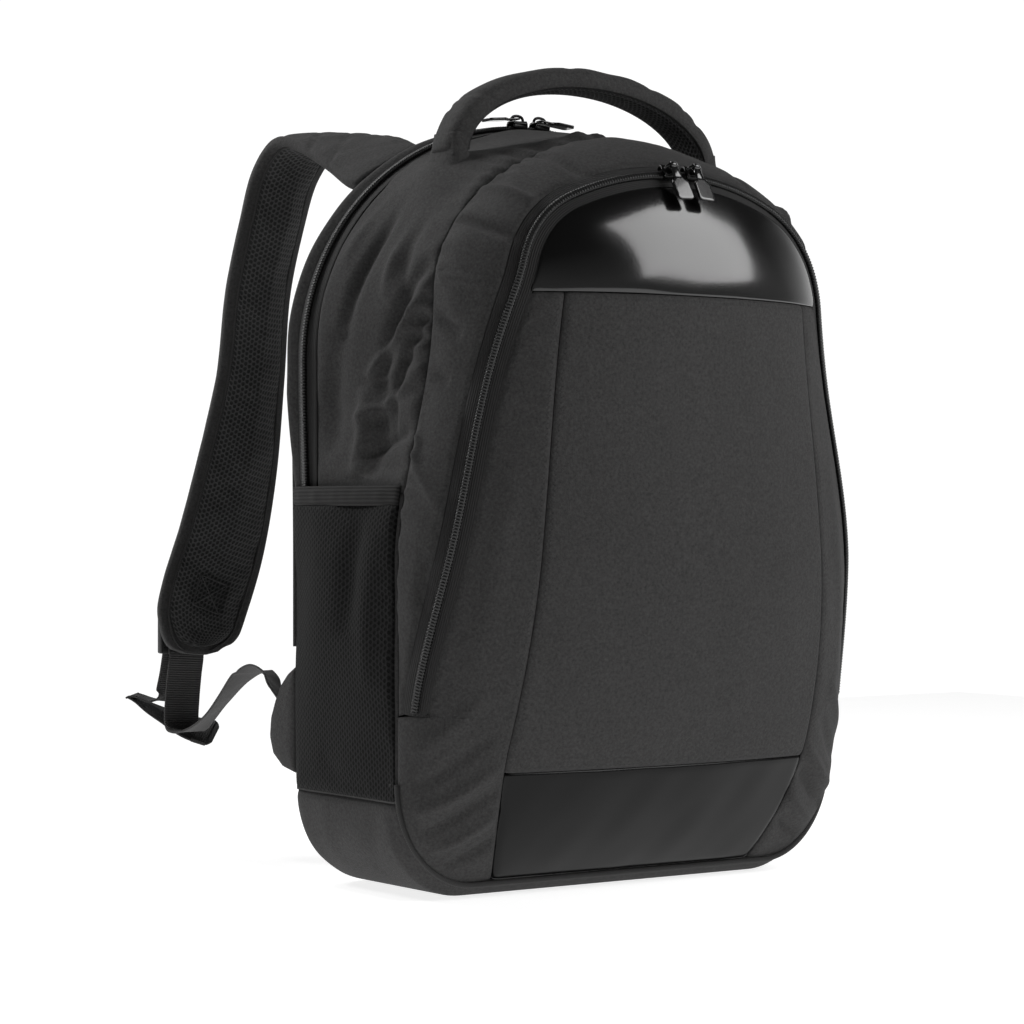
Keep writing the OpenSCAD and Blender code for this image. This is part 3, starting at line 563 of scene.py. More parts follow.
def clamped(x):
    """x held between 0 and 1."""
    return Sock.math("MINIMUM", Sock.math("MAXIMUM", x, 0.0), 1.0)


def uv_mm():
    """The map's lengths along and across the piece, in millimetres."""
    u, v, _ = parts_of(Sock.node("ShaderNodeUVMap", uv_map="UVMap"))
    return u * 1000, v * 1000


def edge_mm():
    """Distance from the nearest border, place along it, both in millimetres, and 1 where it has stitches."""
    d, s, allow = parts_of(Sock.node("ShaderNodeAttribute", "Vector", attribute_name="edge"))
    return d * 1000, s * 1000, allow


def material(name, recipe, **fixed):
    """A principled material. recipe returns its tone (grey value or socket), tint, roughness and height."""
    m = bpy.data.materials.new(name)
    m.use_nodes = True
    Sock.tree = m.node_tree
    shader = m.node_tree.nodes["Principled BSDF"]
    look = recipe()
    tone, tint = look["tone"], look.get("tint", (1, 1, 1))
    if isinstance(tone, Sock):
        Sock.feed(shader.inputs["Base Color"], Sock.node("ShaderNodeCombineColor", inputs={
            0: tone * tint[0], 1: tone * tint[1], 2: tone * tint[2]}))
    else:
        shader.inputs["Base Color"].default_value = [tone * v for v in tint] + [1]
    Sock.feed(shader.inputs["Roughness"], look["rough"])
    if "height" in look:
        bump = Sock.node("ShaderNodeBump", inputs={
            "Height": look["height"], "Strength": look.get("strength", 0.6),
            "Distance": look.get("reach", 0.0004)})
        Sock.feed(shader.inputs["Normal"], bump)
    for key, value in fixed.items():
        shader.inputs[key.replace("_", " ").title().replace("Ior", "IOR")].default_value = value
    return m


# the tint of a slightly warm grey
WARM = (1.03, 1.0, 0.995)


def cloth_recipe(tone, stitches=True, grain=0.12):
    """Fine twill: slanted threads, a grain of dust-like noise, faint large clouds, and rows of stitches, with
    shade painted along each row.
    """
    def recipe():
        u, v = uv_mm()
        threads = wave((u + v * 2) / 1.1) * 0.5 + 0.5
        cloud = noise(0.05, 2) - 0.5
        dust = noise(0.0017, 3, 0.7) - 0.5
        shade = 1 + cloud * 0.25 + dust * (6 * grain) + (threads - 0.5) * grain
        height = threads * 0.35 + dust * 1.2
        if stitches:
            d, s, allow = edge_mm()
            row = 1 - Sock.math("ABSOLUTE", d - 3.2)
            line = Sock.math("SMOOTH_MAX", row, 0.0, 0.1) * allow
            dash = wave(s / 3.1) > -0.55
            height = height - line * 1.6 + line * dash * 2.2
            # painted shade: the furrow along the stitch row is darkened, the stitches themselves a little less
            shade = shade * (1 - line * 0.22) + line * dash * 0.12
        return {"tone": shade * tone, "tint": WARM, "rough": 0.86, "height": height, "strength": 0.5}
    return recipe


def gloss_recipe(tone, rough, swell):
    """Coated cloth: slow swells that bend its reflections, and a fine grain."""
    def recipe():
        height = noise(0.03, 2) * swell + noise(0.0016, 2) * 0.05
        return {"tone": tone, "rough": rough, "height": height, "strength": 0.5, "reach": 0.0012}
    return recipe


def plain_recipe(tone, rough):
    """A smooth finish of one tone."""
    def recipe():
        return {"tone": tone, "rough": rough}
    return recipe


def ribs_recipe(tone, pitch, across=True, rough=0.8, depth=0.3):
    """Ribbed tape: fine ribs across or along its length."""
    def recipe():
        u, v = uv_mm()
        rib = wave((u if across else v) / pitch) * 0.5 + 0.5
        cross = wave((v if across else u) / 0.7) * 0.5 + 0.5
        shade = 1 + (rib - 0.6) * depth + (cross - 0.5) * 0.1 + (noise(0.001, 2) - 0.5) * 0.3
        return {"tone": shade * tone, "tint": WARM, "rough": rough, "height": rib + cross * 0.25,
                "strength": 0.8, "reach": 0.0003}
    return recipe


def mesh_recipe(tone, pitch, stretch=1.0, deep=0.12, open_share=0.35):
    """Knitted mesh: the sum of three cosines at sixty degrees peaks at the holes of a honeycomb. The holes are
    painted dark, as the shade seen through them; deep is the share of the tone left there.
    """
    def recipe():
        u, v = uv_mm()
        warp = (noise(0.02, 2) - 0.5) * 1.2
        u, v = (u + warp) / stretch, v + warp
        k = 1 / (0.866 * pitch)
        cells = wave(v * k + 0.25) + wave(u * (0.866 * k) + v * (0.5 * k) + 0.25) \
            + wave(u * (0.866 * k) - v * (0.5 * k) + 0.25)
        hole = clamped((cells + open_share) * 0.62)
        thread = wave((u + v) / 0.55) * 0.5 + 0.5
        dust = noise(0.0012, 2) - 0.5
        # painted shade: the holes darken to the share deep of the tone
        shade = (1 - hole * (1 - deep)) * (1 + dust * 0.7 + (thread - 0.5) * 0.25)
        return {"tone": shade * tone, "rough": 0.8, "height": dust * 0.3 - hole,
                "strength": 1.0, "reach": 0.0007}
    return recipe


def dots_recipe(tone):
    """Knitted mesh that needs no map: small cells fixed to the piece's own place, whose middles are painted
    darker as the shade in their holes.
    """
    def recipe():
        where = Sock.node("ShaderNodeTexCoord", "Object")
        cell = Sock.node("ShaderNodeTexVoronoi", "Distance", {"Vector": where, "Scale": 420.0})
        hole = Sock.math("SMOOTH_MIN", cell * 1.8, 1.0, 0.3)
        dust = noise(0.0012, 2) - 0.5
        # painted shade: the tone is darkest at the cells' middles, where the holes are
        return {"tone": (0.45 + hole * 0.7 + dust * 0.5) * tone, "rough": 0.88, "height": hole + dust * 0.4,
                "strength": 0.7, "reach": 0.0004}
    return recipe


M = {
    "cloth": material("charcoal_twill", cloth_recipe(0.025, grain=0.42)),
    "plain": material("charcoal_cloth", cloth_recipe(0.025, stitches=False, grain=0.42)),
    "gloss": material("glossy_band", gloss_recipe(0.003, 0.17, 0.25), coat_weight=0.5, coat_roughness=0.1),
    "satin": material("satin_band", gloss_recipe(0.002, 0.26, 0.15), specular_ior_level=0.2),
    "tape": material("zip_tape", ribs_recipe(0.012, 1.3, across=False, depth=0.6)),
    "webbing": material("webbing", ribs_recipe(0.032, 1.5, depth=0.6)),
    "binding": material("binding", ribs_recipe(0.022, 1.2, depth=0.5)),
    "elastic": material("elastic", ribs_recipe(0.014, 2.1, depth=0.9), specular_ior_level=0.3),
    # the meshes' holes are painted dark as shade: deep is the share of the tone left in them
    "pocket": material("pocket_mesh", mesh_recipe(0.009, 2.9, 1.25, deep=0.02, open_share=0.8),
                       specular_ior_level=0.2),
    "airmesh": material("spacer_mesh", mesh_recipe(0.04, 3.0, 1.1, deep=0.08, open_share=0.9)),
    "coil": material("zip_coil", plain_recipe(0.006, 0.42)),
    "metal": material("dark_metal", plain_recipe(0.02, 0.15), metallic=0.8),
    "tab": material("puller_tab", plain_recipe(0.006, 0.12), coat_weight=0.6),
    "plastic": material("moulded_plastic", plain_recipe(0.012, 0.4)),
    "padmesh": material("pad_mesh", dots_recipe(0.035)),
    "thread": material("thread", plain_recipe(0.02, 0.6)),
    "lining": material("lining", dots_recipe(0.05)),
    "floor": material("pale_floor", plain_recipe(0.6, 0.95), emission_color=(1, 1, 1, 1),
                      emission_strength=0.8),
}


# ---------------------------------------------------------------- the main compartment's cloth
def end_distance(sides):
    """Distance to the nearer end of a grid whose rows cross the bag."""
    return np.minimum(sides["i0"][0], sides["i1"][0])


def seam_folds(front_seam, back_seam, seed, marks=(), swell=0.8):
    """Relief of a gusset: gathers along both of its long seams, each given by pitch, height and reach, slow
    waves, and single folds. Each fold is repeated, a little shallower, on the right side."""
    def relief(p, sides):
        d0, s0 = sides["j0"]
        d1, s1 = sides["j1"]
        out = puckers(s0, d0, *front_seam, seed) + puckers(s1, d1, *back_seam, seed + 1)
        out = out + swell * waves(p, 70, seed + 2) + 0.25 * waves(p, 24, seed + 3)
        for path, width, height in marks:
            out = out + 3.6 * crease(p, path, width * 0.75, height)
            out = out + 3.2 * crease(p * MIRROR, path, width * 0.75, height)
        return out * np.clip(end_distance(sides) / 14, 0.1, 1)
    return relief


# single folds: each has a line over the cloth, its width, and its height, which is negative for a furrow
gusset_marks = [
    (on_side((-15, 372), (2, 350), (16, 318), (20, 292)), 7.0, -1.6),
    (on_side((-14, 352), (8, 326), (30, 300)), 5.0, 1.3),
    (on_side((-14, 338), (-2, 316), (6, 290), (4, 262)), 6.0, -1.5),
    (on_side((18, 300), (14, 270), (18, 242)), 9.0, -1.4),
    (on_side((32, 296), (30, 268), (33, 242)), 7.0, 1.0),
    (on_side((-12, 300), (14, 284), (40, 276)), 5.5, 1.0),
    (on_side((-12, 268), (10, 262), (34, 252)), 5.0, -1.0),
    (on_side((50, 330), (58, 292), (54, 256)), 10.0, -1.2),
    ([[-112, -12, 426], [-126, 2, 405], [-138, 10, 380], [-146, 6, 350]], 7.0, -1.9),
    ([[-116, 12, 420], [-138, 18, 384], [-150, 20, 346]], 5.0, 1.6),
    ([[-108, 30, 428], [-128, 36, 404], [-148, 44, 362], [-156, 50, 322]], 6.0, -1.6),
    ([[-112, 44, 424], [-134, 56, 400], [-152, 60, 366]], 6.0, 1.1),
    ([[-100, -12, 434], [-110, 4, 428], [-118, 6, 420]], 4.0, 1.5),
    ([[-88, -10, 438], [-100, 4, 434], [-104, 8, 431]], 3.5, -1.4),
    ([[-70, 6, 444], [-40, -4, 444], [-8, -8, 443]], 5.0, 0.8),
    ([[-74, 30, 448], [-44, 22, 449], [-6, 16, 448]], 6.0, -0.7),
    ([[-88, 12, 440], [-84, -2, 440], [-78, -14, 439]], 4.0, -0.9),
    ([[-104, 12, 432], [-108, -2, 426], [-112, -14, 420]], 4.0, 0.9),
]


def mound(x, y, rise):
    """How far the cloth is drawn up round the handle's feet: a bell over each of them."""
    return rise * np.exp(-((np.abs(x) - HANDLE_SPAN - 2) / 19) ** 2 - ((y - HANDLE_Y) / 27) ** 2)


gathers = seam_folds((15, 2.4, 13), (31, 0.5, 7), 3, gusset_marks, swell=1.6)


def gusset_relief(p, sides):
    """The gusset's folds, and on its top the mounds under the handle."""
    return gathers(p, sides) + mound(p[..., 0], p[..., 1], 8.0) * (p[..., 2] > 380)


girth = np.linspace(-1, 1, 431)[:, None]
own(panel("main_gusset_cloth", tube(girth, np.linspace(SEAM_Y, ZIP_Y - TAPE - 1.4, 49)[None], LOW),
          gusset_relief, roll=1.6, width=2.2, skip=("i0", "i1"), stitch=("j1",)),
    M["cloth"], "root", "main_gusset")


def rear_bulge(p, sides):
    """The band behind the zip swells between its seams: a sine across it, which tapers at both ends."""
    d0, d1 = sides["j0"][0], sides["j1"][0]
    swell = ramp(end_distance(sides), 0, 60) ** 0.7
    return swell * (6.0 * np.sin(np.pi * d0 / (d0 + d1)) ** 0.8 + 0.5 * waves(p, 40, 21))


own(panel("rear_gusset_cloth", tube(girth, np.linspace(ZIP_Y + TAPE + 1.0, BACK_Y, 9)[None], LOW),
          rear_bulge, roll=0.8, width=1.4, skip=("i0", "i1")),
    M["plain"], "root", "rear_gusset")


def side_wall():
    """The lower side behind the pocket: heights as rows, depths as columns."""
    z = np.linspace(POCKET_Z, LOW, 60)[:, None]
    y = np.linspace(SEAM_Y, BACK_Y, 44)[None]
    return pts(-side_x(y, z), y, z)


for side, wall in (("left", side_wall()), ("right", mirrored(side_wall()))):
    own(panel("side_panel_cloth_" + side, wall, lambda p, s: 0.4 * waves(p, 50, 30), roll=0.8,
              skip=("i0", "i1")), M["plain"], "root", "side_panel_" + side)


def base_grid(n=150):
    """The base: outlines from the right seam down, across and up the left one. Between the front's elliptic
    corner and the base's round one the outline changes evenly with depth. Both ends lift off the floor."""
    def outline(cx, cz, rx, rz):
        """Half an outline: down the side, round a corner of half axes rx and rz, and in to the middle."""
        q = np.linspace(0, np.pi / 2, 60)
        x = np.concatenate([[cx + rx], cx + rx * np.cos(q), np.linspace(cx, 0, 40)[1:]])
        z = np.concatenate([[max(cz, POCKET_Z + 12)], cz - rz * np.sin(q), np.zeros(39) + cz - rz])
        keep = z <= POCKET_Z
        start = np.interp(-POCKET_Z, -z, x)
        row = np.stack([np.concatenate([[start], x[keep]]), np.concatenate([[POCKET_Z], z[keep]])], 1)
        half = even(np.column_stack([row, np.zeros(len(row))]), 1.0)
        t = np.linspace(0, 1, len(half))
        want = np.linspace(0, 1, n // 2 + 1)
        half = np.stack([np.interp(want, t, half[:, c]) for c in (0, 1)], 1)
        return np.concatenate([half, (half * [-1, 1])[-2::-1]])
    front_line = outline(HALF_W - CORNER_X, FOOT_Z + CORNER_Z, CORNER_X, CORNER_Z)
    base_line = outline(HALF_W - BASE_X, BASE_Z, BASE_X, BASE_Z)
    y = np.concatenate([np.linspace(SEAM_Y, 10, 18), np.linspace(14, TUCK_Y, 22),
                        np.linspace(TUCK_Y + 2, BACK_Y, 14)])
    k = ramp(y, SEAM_Y, 14)
    k = k * k * (3 - 2 * k)
    lift = 12 * (1 - np.sqrt(np.maximum(1 - ramp(y, BACK_Y - 10, 10) ** 2, 0.02)))
    grid = lerp(front_line[:, None], base_line[:, None], k[None, :, None])
    w = np.clip(1 - grid[..., 1] / POCKET_Z, 0, 1)
    x = grid[..., 0] * (1 - lift * w * 0.6 / HALF_W)
    x = x * (1 - tuck_at(y) / 2 / HALF_W)
    return pts(x, y[None], grid[..., 1] + w * lift)


def base_relief(p, sides):
    """Gathers along the front seam and two creases on the left, on the part that clears the floor."""
    d0, s0 = sides["j0"]
    up = np.clip((p[..., 2] - 5) / 12, 0, 1)
    return up * (puckers(s0, d0, 19, 0.9, 9, 41) + 0.7 * waves(p, 38, 42)
                 + crease(p, [[-158, 4, 52], [-152, 16, 30], [-140, 30, 14]], 6, -1.3)
                 + crease(p, [[-158, 60, 52], [-150, 66, 26], [-136, 70, 10]], 7, 1.0))


own(panel("base_cloth", base_grid(), base_relief, roll=1.3, width=2.0, stitch=("i0", "i1")),
    M["cloth"], "root", "base_panel")

# the piping follows the front's lower corners, just in front of the seam
q = np.linspace(0, np.pi / 2, 40)
pipe_half = pts(HALF_W - CORNER_X + (CORNER_X + 0.3) * np.cos(q), SEAM_Y - 1.2,
                FOOT_Z + CORNER_Z - (CORNER_Z + 0.3) * np.sin(q))
pipe_path = even(np.concatenate([pipe_half, (pipe_half * MIRROR)[::-1]]), 2.0)
own(tube_mesh("base_piping_cord", ringed(pipe_path, Y, round_profile(1.7))),
    M["binding"], "root", "base_piping")


# ---------------------------------------------------------------- the front
def front_gusset_grid(n=441, m=44):
    """Rows follow the zip. Columns lead from its outer tape to the seam, closer together where it turns."""
    u = np.linspace(-1, 1, n)
    x0, z0 = beside_zip(u, TAPE + 1.0)
    seam = tube(u, SEAM_Y, ZIP_END)
    k = 1 - (1 - np.linspace(0, 1, m)) ** SQUARE
    x = lerp(x0[:, None], seam[:, :1], k[None])
    z = lerp(z0[:, None], seam[:, 2:], k[None])
    return front(x, z)


# single folds over the front gusset's shoulders and sides
front_marks = [
    (on_front((-146, 214), (-152, 250), (-150, 286)), 4.5, 0.9),
    (on_front((-132, 322), (-142, 338), (-144, 356)), 4.5, -1.3),
    (on_front((-124, 350), (-135, 356), (-139, 366)), 4.0, 1.0),
    (on_front((-138, 296), (-148, 304), (-150, 322)), 4.5, -1.1),
    (on_front((-108, 376), (-118, 384), (-124, 394)), 4.5, -1.2),
    (on_front((-90, 394), (-98, 402), (-106, 412)), 4.0, 0.9),
    (on_front((-60, 410), (-64, 420), (-68, 432)), 5.0, -0.9),
    (on_front((-150, 150), (-156, 176), (-154, 200)), 5.0, -0.8),
]
own(panel("front_gusset_cloth", front_gusset_grid(),
          seam_folds((40, 0.3, 6), (15, 2.2, 7), 51, front_marks, swell=1.2), roll=1.5, width=2.0,
          skip=("i0", "i1"), stitch=("j0",)), M["cloth"], "root", "front_gusset")


def zip_band(d0, d1, sunk=0.9, n=601, m=9):
    """A tape of the front zip, sunk below the fabric, from the line at d0 to the line at d1."""
    u = np.linspace(-1, 1, n)[:, None]
    x, z = beside_zip(u, np.linspace(d0, d1, m)[None])
    return front(x, z) - front_n(x, z) * sunk


def tape_piece(name, grid, node):
    """A flat zip tape: a thin panel whose borders don't roll."""
    own(panel(name, grid, roll=0, thick=0.9, skip=BORDERS), M["tape"], "root", node)


tape_piece("front_zip_outer_cloth", zip_band(0.2, TAPE + 1.6), "front_zip_outer_tape")
tape_piece("front_zip_inner_cloth", zip_band(-TAPE - 1.6, -0.2), "front_zip_inner_tape")

# the fabric's edge inside the zip's inner tape, from the top down the right side
edge_x, edge_z = beside_zip(np.linspace(0, 1, 400), -TAPE - 1.0)


def inner_w(z):
    """Half width reached by the fabric inside the zip, or by the whole front below the zip's end."""
    return np.where(z < ZIP_END, front_w(z), np.interp(z, edge_z[::-1], edge_x[::-1]))


def front_slow(size, height, seed, marks=(), seam=0.0):
    """Relief of a front panel: slow waves of this size and height, single folds, and gathers of height seam
    along its long seams."""
    def relief(p, sides):
        out = height * waves(p, size, seed) + 0.12 * waves(p, 30, seed + 1)
        for path, width, tall in marks:
            out = out + 2.1 * crease(p, path, width * 0.8, tall)
        if seam:
            for key in ("i0", "i1"):
                d, s = sides[key]
                out = out + puckers(s, d, 17, seam, 8, seed + 5)
        return out
    return relief


# the centre panel between the bands, then the lower band and the upper one
a = np.linspace(-1, 1, 97)[:, None]
z = np.linspace(HEM_Z + 0.2, BAND_Z - 0.2, 130)[None]
own(panel("front_centre_cloth", front((centre_w(z) - 0.2) * a, z), front_slow(90, 0.5, 61, seam=0.25),
          roll=0.9, width=1.6), M["cloth"], "root", "front_panel_centre")
z = np.linspace(FOOT_Z + 1, HEM_Z - 0.2, 44)[None]
own(panel("lower_band", front((centre_w(z) - 0.2) * a, z), front_slow(80, 0.35, 71), roll=0.9, width=1.5,
          stitch=()), M["satin"], "root", "lower_gloss_band")
w0 = inner_w(np.array(BAND_Z)) * np.linspace(-1, 1, 141)[:, None]
top = np.maximum(np.interp(np.abs(w0), edge_x, edge_z), BAND_Z + 2)
own(panel("upper_band", front(w0, lerp(BAND_Z + 0.2, top, np.linspace(0, 1, 60)[None])),
          front_slow(80, 0.4, 81), roll=0.35, width=1.2, stitch=()), M["gloss"], "root", "upper_gloss_band")


def side_front_grid():
    """The front's left flank between the long seam and the zip, or the lower corner below the zip."""
    z = np.concatenate([np.linspace(FOOT_Z + 1, ZIP_END - 0.4, 56),
                        np.linspace(ZIP_END + 0.4, BAND_Z - 0.2, 110)])
    c = centre_w(z) + 0.2
    w = np.maximum(inner_w(z), c + 1)
    k = 1 - (1 - np.linspace(0, 1, 46)[:, None]) ** 1.7
    # columns crowd at the outer border, where the surface turns quickly
    return front(-lerp(w[None], c[None], 1 - k[::-1]), z[None])


corner_marks = [
    (on_front((-154, 52), (-138, 60), (-112, 80)), 5.0, 1.6),
    (on_front((-150, 40), (-134, 48), (-108, 68)), 4.5, -1.7),
    (on_front((-142, 30), (-126, 38), (-104, 54)), 4.5, 1.5),
    (on_front((-132, 21), (-118, 27), (-102, 38)), 4.0, -1.4),
    (on_front((-156, 66), (-144, 76), (-120, 98)), 5.0, -1.1),
    (on_front((-157, 84), (-146, 96), (-126, 120)), 6.0, 0.9),
    (on_front((-134, 120), (-128, 180), (-116, 250)), 9.0, 0.6),
]


def flipped(marks):
    """The same folds on the bag's right side."""
    return [([[-x, y, z] for x, y, z in path], width, height) for path, width, height in marks]


for side, grid, marks in (("left", side_front_grid(), corner_marks),
                          ("right", mirrored(side_front_grid()), flipped(corner_marks))):
    own(panel("front_flank_" + side, grid, front_slow(70, 0.5, 91, marks, 0.3), roll=0.9, width=1.6),
        M["cloth"], "root", "front_panel_" + side)


# ---------------------------------------------------------------- zips
def coil_mesh(name, path, up, r=2.6, pitch=1.8, sides=12):
    """A coil: a round bead whose radius swells in slanted teeth, mirrored over a groove on its top. up is its
    raised direction at evenly spaced places along the path."""
    path = even(path, pitch / 5)
    s = np.linspace(0, lengths(path)[-1], len(path))
    a = np.arange(sides) * 2 * np.pi / sides + np.pi / sides
    lean = np.abs(a[None] - np.where(a > np.pi * 1.5, 2.5, 0.5)[None] * np.pi)
    tooth = np.sin(2 * np.pi * s[:, None] / pitch + 1.6 * lean)
    bead = r * (0.86 + 0.16 * tooth) * (1 - 0.5 * np.exp(-(lean / 0.3) ** 2))
    at = np.linspace(0, s[-1], len(up))
    up = np.stack([np.interp(s, at, up[:, c]) for c in range(3)], 1)
    w, v = frames(path, up)
    section = np.stack([bead * np.cos(a), 0.8 * bead * np.sin(a)], -1)
    return tube_mesh(name, carried(path, section, w[:, None], v))


u = np.linspace(-1, 1, 700)
out = front_n(*zip_xz(u))
own(coil_mesh("front_zip_teeth", zip_pt(u * 0.995) + 0.5 * out, out), M["coil"], "root", "front_zip_coil")
out = unit(tube(u, ZIP_Y, MAIN_END) - tube(u, ZIP_Y, MAIN_END, 10.0))
own(coil_mesh("main_zip_teeth", tube(u, ZIP_Y, LOW + 3) + 0.8 * out, out), M["coil"], "root", "main_zip_coil")
for name, y0, y1 in (("front", ZIP_Y - TAPE - 1.6, ZIP_Y - 0.2), ("rear", ZIP_Y + 0.2, ZIP_Y + TAPE + 1.4)):
    tape_piece("main_zip_%s_cloth" % name, tube(girth, np.linspace(y0, y1, 7)[None], LOW, 0.7),
               "main_zip_%s_tape" % name)


# ---------------------------------------------------------------- the back
def back_w(z):
    """Half width of the back panel at each height: an arch, bowed sides, and round lower corners."""
    zc, h, a, w, low, r = ZIP_ZC, BODY_H - 4, ZIP_A - 4, HALF_W - 2, 12.0, 42.0
    arch = a * np.sqrt(np.maximum(1 - ((z - zc) / (h - zc)) ** 2, 0))
    straight = lerp(w, a, bow(z, zc))
    corner = w - r + np.sqrt(np.maximum(r * r - np.clip(low + r - z, 0, r) ** 2, 0))
    return np.where(z > zc, arch, np.where(z < low + r, corner, straight)) - 1.0


def back_grid():
    """The back panel's face: heights crowd at both ends, widths at both sides, where the edge drops off."""
    k = (1 - np.cos(np.linspace(0, np.pi, 110))) / 2
    z = lerp(12.6, BODY_H - 4.6, k)[None]
    a = np.sin(np.linspace(np.pi / 2, -np.pi / 2, 81))[:, None]
    return pts(back_w(z) * a, BACK_Y + 0.2 - 1.4 * np.abs(a) ** 8, z)


board = panel("back_panel_mesh", back_grid(), lambda p, s: 0.25 * waves(p, 60, 101), roll=0.5, thick=5.0,
              skip=("j0", "j1"))
own(board, M["airmesh"], "root", "back_board")

bind = tube(np.linspace(-1, 1, 300), np.full(300, BACK_Y), 142.0, 0.8)
bind[:, 1] = BACK_Y + 0.9
own(tube_mesh("back_binding_tape", ringed(even(bind, 2.0), Y, round_profile(1.9, 12, 0.8))),
    M["binding"], "root", "back_binding")


def pillow(name, x0, x1, z0, z1, bulge, n=5.0, m=160):
    """A closed pad on the back: a superellipse outline of power n whose face rises as a rounded dome."""
    r = np.sin(np.linspace(0, np.pi / 2, 22))[:, None]
    a = turns(m)
    x = (x0 + x1) / 2 - (x1 - x0) / 2 * r * squared(np.cos(a), 2 / n)
    z = (z0 + z1) / 2 + (z1 - z0) / 2 * r * squared(np.sin(a), 2 / n)
    face = pts(x, BACK_Y + 0.6 + bulge * np.maximum(1 - r ** 2.6, 0) ** 0.55, z)
    flat = pts(x[::-1], BACK_Y - 0.2, z[::-1])
    return tube_mesh(name, np.concatenate([face[1:], flat[1:-1]]))


def places(me):
    """A mesh's points as rows of three, in metres."""
    co = np.empty(len(me.vertices) * 3)
    me.vertices.foreach_get("co", co)
    return co.reshape(-1, 3)


def baked(ob):
    """A new mesh of what the object's modifiers make of it."""
    return bpy.data.meshes.new_from_object(ob.evaluated_get(bpy.context.evaluated_depsgraph_get()))


def inflate(ob, voxel=0.005, cap=0.006, pressure=4.0, steps=20):
    """Let the pad's cover swell as cloth under pressure, with every point held within cap of its start."""
    start = bpy.data.objects.new(ob.name + "_start", ob.data)
    bpy.context.scene.collection.objects.link(start)
    mod = start.modifiers.new("even", "REMESH")
    mod.mode = "VOXEL"
    mod.voxel_size = voxel
    ob.data = baked(start)
    bpy.data.objects.remove(start)
    before = places(ob.data)
    cloth = ob.modifiers.new("swell", "CLOTH")
    cloth.settings.use_pressure = True
    cloth.settings.uniform_pressure_force = pressure
    cloth.settings.effector_weights.gravity = 0
    for frame_no in range(1, steps + 1):
        bpy.context.scene.frame_set(frame_no)
    done = baked(ob)
    move = places(done) - before
    length = np.linalg.norm(move, axis=1, keepdims=True)
    place = before + move * np.minimum(1, cap / np.maximum(length, 1e-9))
    place[:, 1] = np.maximum(place[:, 1], BACK_Y * 0.001)
    done.vertices.foreach_set("co", place.ravel())
    done.polygons.foreach_set("use_smooth", np.ones(len(done.polygons), bool))
    ob.modifiers.clear()
    ob.data = done
    bpy.context.scene.frame_set(1)
    fine = ob.modifiers.new("fine", "SUBSURF")
    fine.levels = fine.render_levels = 1


def channels(ob, rows, width=4.0, depth=4.5):
    """Press sewn channels into a pad's face: bell-shaped furrows along X at the given heights."""
    co = places(ob.data)
    for z in rows:
        dip = depth * np.exp(-((co[:, 2] * 1000 - z) / width) ** 2)
        co[:, 1] -= 0.001 * np.minimum(dip, np.maximum(co[:, 1] * 1000 - BACK_Y - 1.0, 0))
    ob.data.vertices.foreach_set("co", co.ravel())
    ob.data.update()


# each pad: its name, its box as x and height, how far it stands out, its node, and its channels' heights
for name, box, bulge, node, rows in (
        ("back_pad_mesh_left", (-125, -13, 169, 387), 7.0, "back_pad_left", (225, 280, 335)),
        ("back_pad_mesh_right", (13, 125, 169, 387), 7.0, "back_pad_right", (225, 280, 335)),
        ("lumbar_pad_mesh", (-127, 127, 79, 157), 8.5, "lumbar_pad", (118,))):
    pad = pillow(name, *box, bulge)
    inflate(pad)
    channels(pad, rows)
    own(pad, M["padmesh"], "root", node)


# ---------------------------------------------------------------- side pockets
MOUTH_Z, ELASTIC_H = 226.0, 11.5


def pocket_grid(low, high, off=0.0, n=70, m=64):
    """The left pocket's mesh, which stands off the side most at mid-depth, and the elastic on its mouth. low
    and high say which part of them to take: 0 is the base, 1 the level mouth, 2 the elastic's upper edge."""
    a = np.linspace(low, high, n)[:, None]
    b = np.linspace(0, 1, m)[None]
    y = lerp(SEAM_Y + 1.5, BACK_Y - 3, b)
    z = lerp(POCKET_Z + 1, MOUTH_Z, np.minimum(a, 1)) + ELASTIC_H * np.maximum(a - 1, 0)
    k = lerp(0.02, 0.86, np.minimum(a, 1))
    stand = 1.2 + 9 * np.sin(np.pi * b) ** 0.7 * np.sin(np.pi * k ** 1.25) ** 0.6
    return pts(-side_x(y, z) - stand - off, y, z)


def pocket_relief(p, sides):
    """Slow waves, gathers at the front seam, one deep crease down the mesh and two shallow ones."""
    d, s = sides["j0"]
    return 1.7 * (0.6 * waves(p, 60, 111) + puckers(s, d, 18, 0.7, 7, 112)
                  + crease(p, [[-170, 14, 222], [-171, 22, 190], [-170, 24, 150]], 9, -2.6)
                  + crease(p, [[-170, -2, 210], [-170, 4, 170], [-168, 4, 120]], 8, 1.2)
                  + crease(p, [[-170, 60, 80], [-170, 40, 66], [-166, 10, 62]], 8, -1.0))


for side, turned, relief, mouth in (
        ("left", np.asarray, pocket_relief, "i1"),
        ("right", mirrored, lambda p, sides: pocket_relief(p * MIRROR, sides), "i0")):
    bag = panel("pocket_mesh_" + side, turned(pocket_grid(0, 1)), relief, roll=0.8, thick=1.0, skip=(mouth,))
    "side_panel_" + side
    own(bag, M["pocket"], "root", "side_pocket_" + side)
    band = panel("pocket_band_" + side, turned(pocket_grid(1.0, 2.0, 0.9, n=12, m=90)),
                 lambda p, s: 0.25 * waves(p, 14, 121), roll=1.0, width=1.6, thick=2.0)
    own(band, M["elastic"], "root", "pocket_elastic_" + side)


# ---------------------------------------------------------------- carry handle
def handle_path(n=121, reach=3.0):
    """Half an ellipse over the top of the bag, with reach degrees more at both ends inside its feet."""
    a = np.radians(np.linspace(-reach, 180 + reach, n))
    return pts(-HANDLE_SPAN * np.cos(a), HANDLE_Y, HANDLE_Z + HANDLE_RISE * np.sin(a))


